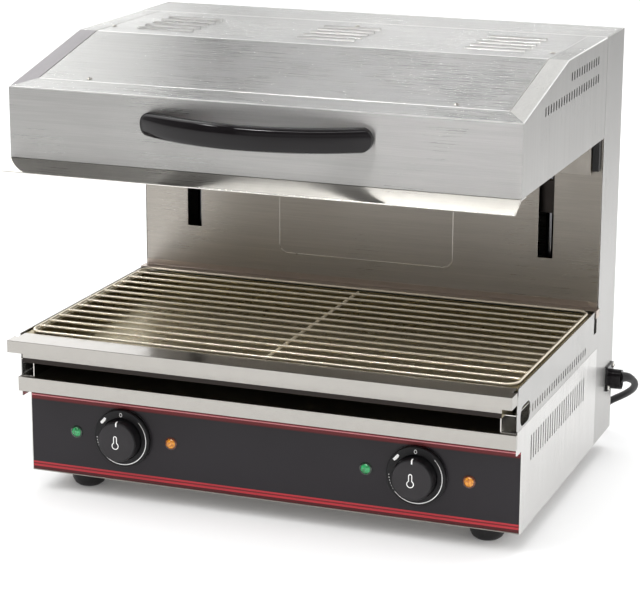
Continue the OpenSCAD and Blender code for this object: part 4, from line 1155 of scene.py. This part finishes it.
class GRILL_OT_handle(bpy.types.Operator):
    """Models the bowed handle, which is cut from a ring"""

    bl_idname = "grill.handle"
    bl_label = "Handle"

    def execute(self, context):
        low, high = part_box("hood_handle")
        radius = BOW_RADIUS * MM
        middle = Vector((0, high.y - BOW_DEPTH * MM + radius, (low.z + high.z) / 2 - 1 * MM))
        profile = [(BOW_RADIUS + out, up) for out, up in BAR_SECTION + BAR_SECTION[:1]]
        bar = turned("handle_bar", profile, middle, (0, 0, 1), BOW_STEPS)
        outline = [(side * (BAR_HALF_LONG - BAR_END) + BAR_END * math.cos(a), BAR_END * math.sin(a))
                   for side, start in ((1, -90), (-1, 90))
                   for a in [math.radians(start + 15 * k) for k in range(13)]]
        # The bar is what the ring shows through a long rounded window.
        window = flat_shape("handle_window", outline, WINDOW_DEEP * MM,
                            place_face((0, high.y, middle.z)))
        modify(bar, "BOOLEAN", object=window, operation="INTERSECT", solver="EXACT")
        bpy.data.objects.remove(window)
        modify(bar, "BEVEL", width=2.2 * MM, segments=3, limit_method="ANGLE",
               angle_limit=math.radians(45), use_clamp_overlap=True)
        settle(bar, 45)
        finish_with(bar, "gloss")
        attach(bar, "hood")
        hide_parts("hood_handle")
        return {"FINISHED"}


KNOB_HIGH = 17.5
KNOB_ROUNDING = [(24.1, 15.2), (23.8, 16.1), (23.2, 16.9), (22.5, 17.35), (21.8, KNOB_HIGH)]
KNOB_PROFILE = [(0, 0), (23.9, 0), (24.5, 0.6), (24.5, 3), *KNOB_ROUNDING, (12, KNOB_HIGH),
                (0, KNOB_HIGH)]
POINTER_LINE = [(19.0, KNOB_HIGH), *KNOB_ROUNDING[::-1], (24.15, 13)]
POINTER_WIDE = 1.6
SCALE_ARC = (45, 231)  # from one clock angle to another
DASHES, DASH_FROM, DASH_STEP, DASH_LONG = 6, 236, 6.2, 2.2  # also in degrees


def thermometer(line=0.95):
    """The outer and the inner outline of a thermometer that is drawn with a line of even width."""
    stem, bulb, top, centre = 1.85, 3.9, 7.0, -4.4

    def outline(grow):
        s, b = stem + grow, bulb + grow
        start = math.atan2(math.sqrt(b ** 2 - s ** 2), s)
        turn = math.pi + 2 * start
        arc = [(b * math.cos(start - i / 20 * turn), centre + b * math.sin(start - i / 20 * turn))
               for i in range(21)]
        cap = [(s * math.cos(a), top - stem + s * math.sin(a))
               for a in [math.pi - i / 10 * math.pi for i in range(11)]]
        return arc + cap

    return outline(line / 2), outline(-line / 2)


class GRILL_OT_knobs(bpy.types.Operator):
    """Models the two knobs, their printed marks and the scales round them"""

    bl_idname = "grill.knobs"
    bl_label = "Knobs"

    def execute(self, context):
        sizes = context.scene.grill_sizes
        for side in ("left", "right"):
            low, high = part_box("knob_" + side)
            foot = low.y + KNOB_HIGH * MM
            centre = Vector(((low.x + high.x) / 2, foot, (low.z + high.z) / 2))
            body = turned("knob_%s_turned" % side, KNOB_PROFILE, centre, (0, -1, 0), 96)
            finish_with(body, "knob")
            body.data.materials.append(finishes()["ring"])
            # Only the front face is satin. The sides are darker, as painted shade.
            for face in body.data.polygons:
                face.material_index = 0 if face.center.y < low.y + 0.1 * MM else 1
            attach(body, side + "_dial")
            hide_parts("knob_" + side)
            self.pictogram(side, Vector((centre.x, low.y, centre.z)), sizes.mark)
            self.pointer(side, centre, sizes.mark)
            self.scale(side, centre, sizes)
        return {"FINISHED"}

    def pictogram(self, side, at, depth):
        """The thermometer on the knob's face, a little left of its middle."""
        rings = []
        for name, outline in zip(("thermometer_" + side, "thermometer_inner"), thermometer()):
            rings.append(drawn_line(name, [mm(x, y, 0) for x, y in outline + outline[:1]]))
            bpy.ops.object.mode_set(mode="OBJECT")
        obj = joined("thermometer_" + side, rings)
        bpy.ops.object.mode_set(mode="EDIT")
        bpy.ops.mesh.select_all(action="SELECT")
        bpy.ops.mesh.remove_doubles(threshold=0.005 * MM)
        bpy.ops.mesh.select_mode(type="EDGE")
        bpy.ops.mesh.select_all(action="SELECT")
        bpy.ops.mesh.bridge_edge_loops()
        extrude_all((0, 0, depth * 1.5))
        close_up()
        obj.matrix_world = place_face((at.x - 1.4 * MM, at.y + depth * 0.5, at.z))
        settle(obj, 30)
        finish_with(obj, "print")
        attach(obj, side + "_dial")

    def pointer(self, side, centre, depth):
        """A white line that runs over the knob's front edge and back along its side."""
        obj = drawn_line("pointer_" + side, [
            Vector((-POINTER_WIDE / 2 * MM, centre.y - (h + 0.02) * MM, centre.z + (r + 0.02) * MM))
            for r, h in POINTER_LINE])
        extrude_all((POINTER_WIDE * MM, 0, 0))
        close_up()
        modify(obj, "SOLIDIFY", thickness=depth, offset=0.0)
        obj.data.transform(Matrix.Translation((centre.x, 0, 0)))
        settle(obj, 30)
        finish_with(obj, "print")
        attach(obj, side + "_dial")

    def scale(self, side, centre, sizes):
        """The printed scale round a knob: a long arc, dashes that widen, a bold bar and a zero."""
        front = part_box("control_fascia")[0].y
        move = place_face((centre.x, front + sizes.mark * 0.4, centre.z))
        stripes = [("scale_arc", *SCALE_ARC, 1.0)]
        for i in range(DASHES):
            start = DASH_FROM + i * DASH_STEP
            stripes.append(("scale_dash", start, start + DASH_LONG, 0.5 + i * 0.12))
        parts = [self.arc(sizes.scale_r / MM, *stripe, sizes.mark, move) for stripe in stripes]
        parts.append(self.bar(clock=-48.6, low=28.5, high=31.9, length=9.0, depth=sizes.mark,
                              move=move))
        parts.append(self.zero(move))
        scale = joined("scale_" + side, parts)
        finish_with(scale, "print")
        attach(scale, "cabinet")

    def arc(self, radius, name, start, end, width, depth, move):
        """A stripe along a circle, from one clock angle to another, which narrows to its ends."""
        count = max(2, int(abs(end - start) / 4))
        sides = [], []
        for i in range(count + 1):
            u = i / count
            a = math.radians(90 - (start + (end - start) * u))
            half = width * (0.35 + 0.65 * math.sin(math.pi * u)) / 2
            for line, r in zip(sides, (radius + half, radius - half)):
                line.append((r * math.cos(a), r * math.sin(a)))
        return flat_shape(name, sides[0] + sides[1][::-1], depth, move)

    def bar(self, clock, low, high, length, depth, move):
        """The bold bar before the zero, between two radii at a clock angle."""
        a = math.radians(90 - clock)
        out, along = Vector((math.cos(a), math.sin(a))), Vector((-math.sin(a), math.cos(a)))
        corners = [out * r + along * (s * length / 2) for r, s in (
            (low, -0.5), (low + 1.0, -1), (high, -0.9), (high, 1), (low + 0.6, 1), (low, 0.5))]
        return flat_shape("scale_bar", corners, depth, move)

    def zero(self, move):
        """A small zero above the pointer."""
        deselect()
        bpy.ops.mesh.primitive_torus_add(
            major_segments=32, minor_segments=6, major_radius=2.1 * MM, minor_radius=0.36 * MM,
            location=(0, 0, 0))
        obj = named("scale_zero")
        obj.scale = (0.72, 1.0, 0.2)
        bpy.ops.object.transform_apply(location=True, rotation=True, scale=True)
        obj.data.transform(move @ Matrix.Translation(mm(-0.3, 29.1, 0.06)))
        return settle(obj)


# Radii and heights over the fascia. The rim's tube goes back through it.
LENS_PROFILE = [(0, -1), (4.8, -1), (5.7, 0.2), (5.7, 1.4), (4.6, 2.3), (2.4, 2.9), (0, 3.0)]
RIM_PROFILE = [(4.8, -22), (4.8, 0.0), (7.3, 0.05), (7.6, 0.3), (7.4, 0.8), (6.6, 1.3), (5.75, 1.5),
               (5.75, 0.5), (4.4, 0.5), (4.4, -22), (4.8, -22)]
LENS_HIGH = 3.0


class GRILL_OT_lamps(bpy.types.Operator):
    """Models the pilot lamps with their cut lenses and rims"""

    bl_idname = "grill.lamps"
    bl_label = "Lamps"

    def execute(self, context):
        facets = context.scene.grill_sizes.facets
        for kind, finish in (("power", "green"), ("heat", "amber")):
            for side in ("left", "right"):
                self.lamp("%s_lamp_%s" % (kind, side), finish, facets)
        return {"FINISHED"}

    def lamp(self, node, finish, facets):
        """A faceted lens in a thick rim of the same colour."""
        low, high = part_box(node)
        centre = Vector(((low.x + high.x) / 2, low.y + LENS_HIGH * MM, (low.z + high.z) / 2))
        lens = turned(node + "_lens", LENS_PROFILE, centre, (0, -1, 0), facets)
        choose(lens)
        bpy.ops.object.shade_flat()
        finish_with(lens, finish)
        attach(lens, "cabinet")
        rim = turned(node + "_rim", RIM_PROFILE, centre, (0, -1, 0), 40)
        finish_with(rim, finish + "_rim")
        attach(rim, "cabinet")
        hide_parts(node)


class GRILL_PT_panel(bpy.types.Panel):
    """Lists the pieces of the grill and their sizes"""

    bl_idname = "GRILL_PT_panel"
    bl_label = "Salamander grill"
    bl_space_type = "VIEW_3D"
    bl_region_type = "UI"
    bl_category = "Grill"

    def draw(self, context):
        layout = self.layout
        for group in (context.scene.grill_sizes, context.scene.grill_finishes):
            for name in group.__annotations__:
                layout.prop(group, name)
        for operator in STEPS:
            layout.operator(operator.bl_idname)


STEPS = (GRILL_OT_stage, GRILL_OT_cord, GRILL_OT_casing, GRILL_OT_fittings, GRILL_OT_springs,
         GRILL_OT_screws, GRILL_OT_handle, GRILL_OT_knobs, GRILL_OT_lamps)
CLASSES = (GrillSizes, GrillFinishes, *STEPS, GRILL_PT_panel)


def register():
    for cls in CLASSES:
        bpy.utils.register_class(cls)
    bpy.types.Scene.grill_sizes = PointerProperty(type=GrillSizes)
    bpy.types.Scene.grill_finishes = PointerProperty(type=GrillFinishes)


def unregister():
    del bpy.types.Scene.grill_finishes
    del bpy.types.Scene.grill_sizes
    for cls in reversed(CLASSES):
        bpy.utils.unregister_class(cls)


def main():
    register()
    for operator in STEPS:
        getattr(bpy.ops.grill, operator.bl_idname.split(".")[1])()
    deselect()
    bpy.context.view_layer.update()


if __name__ == "__main__":
    main()
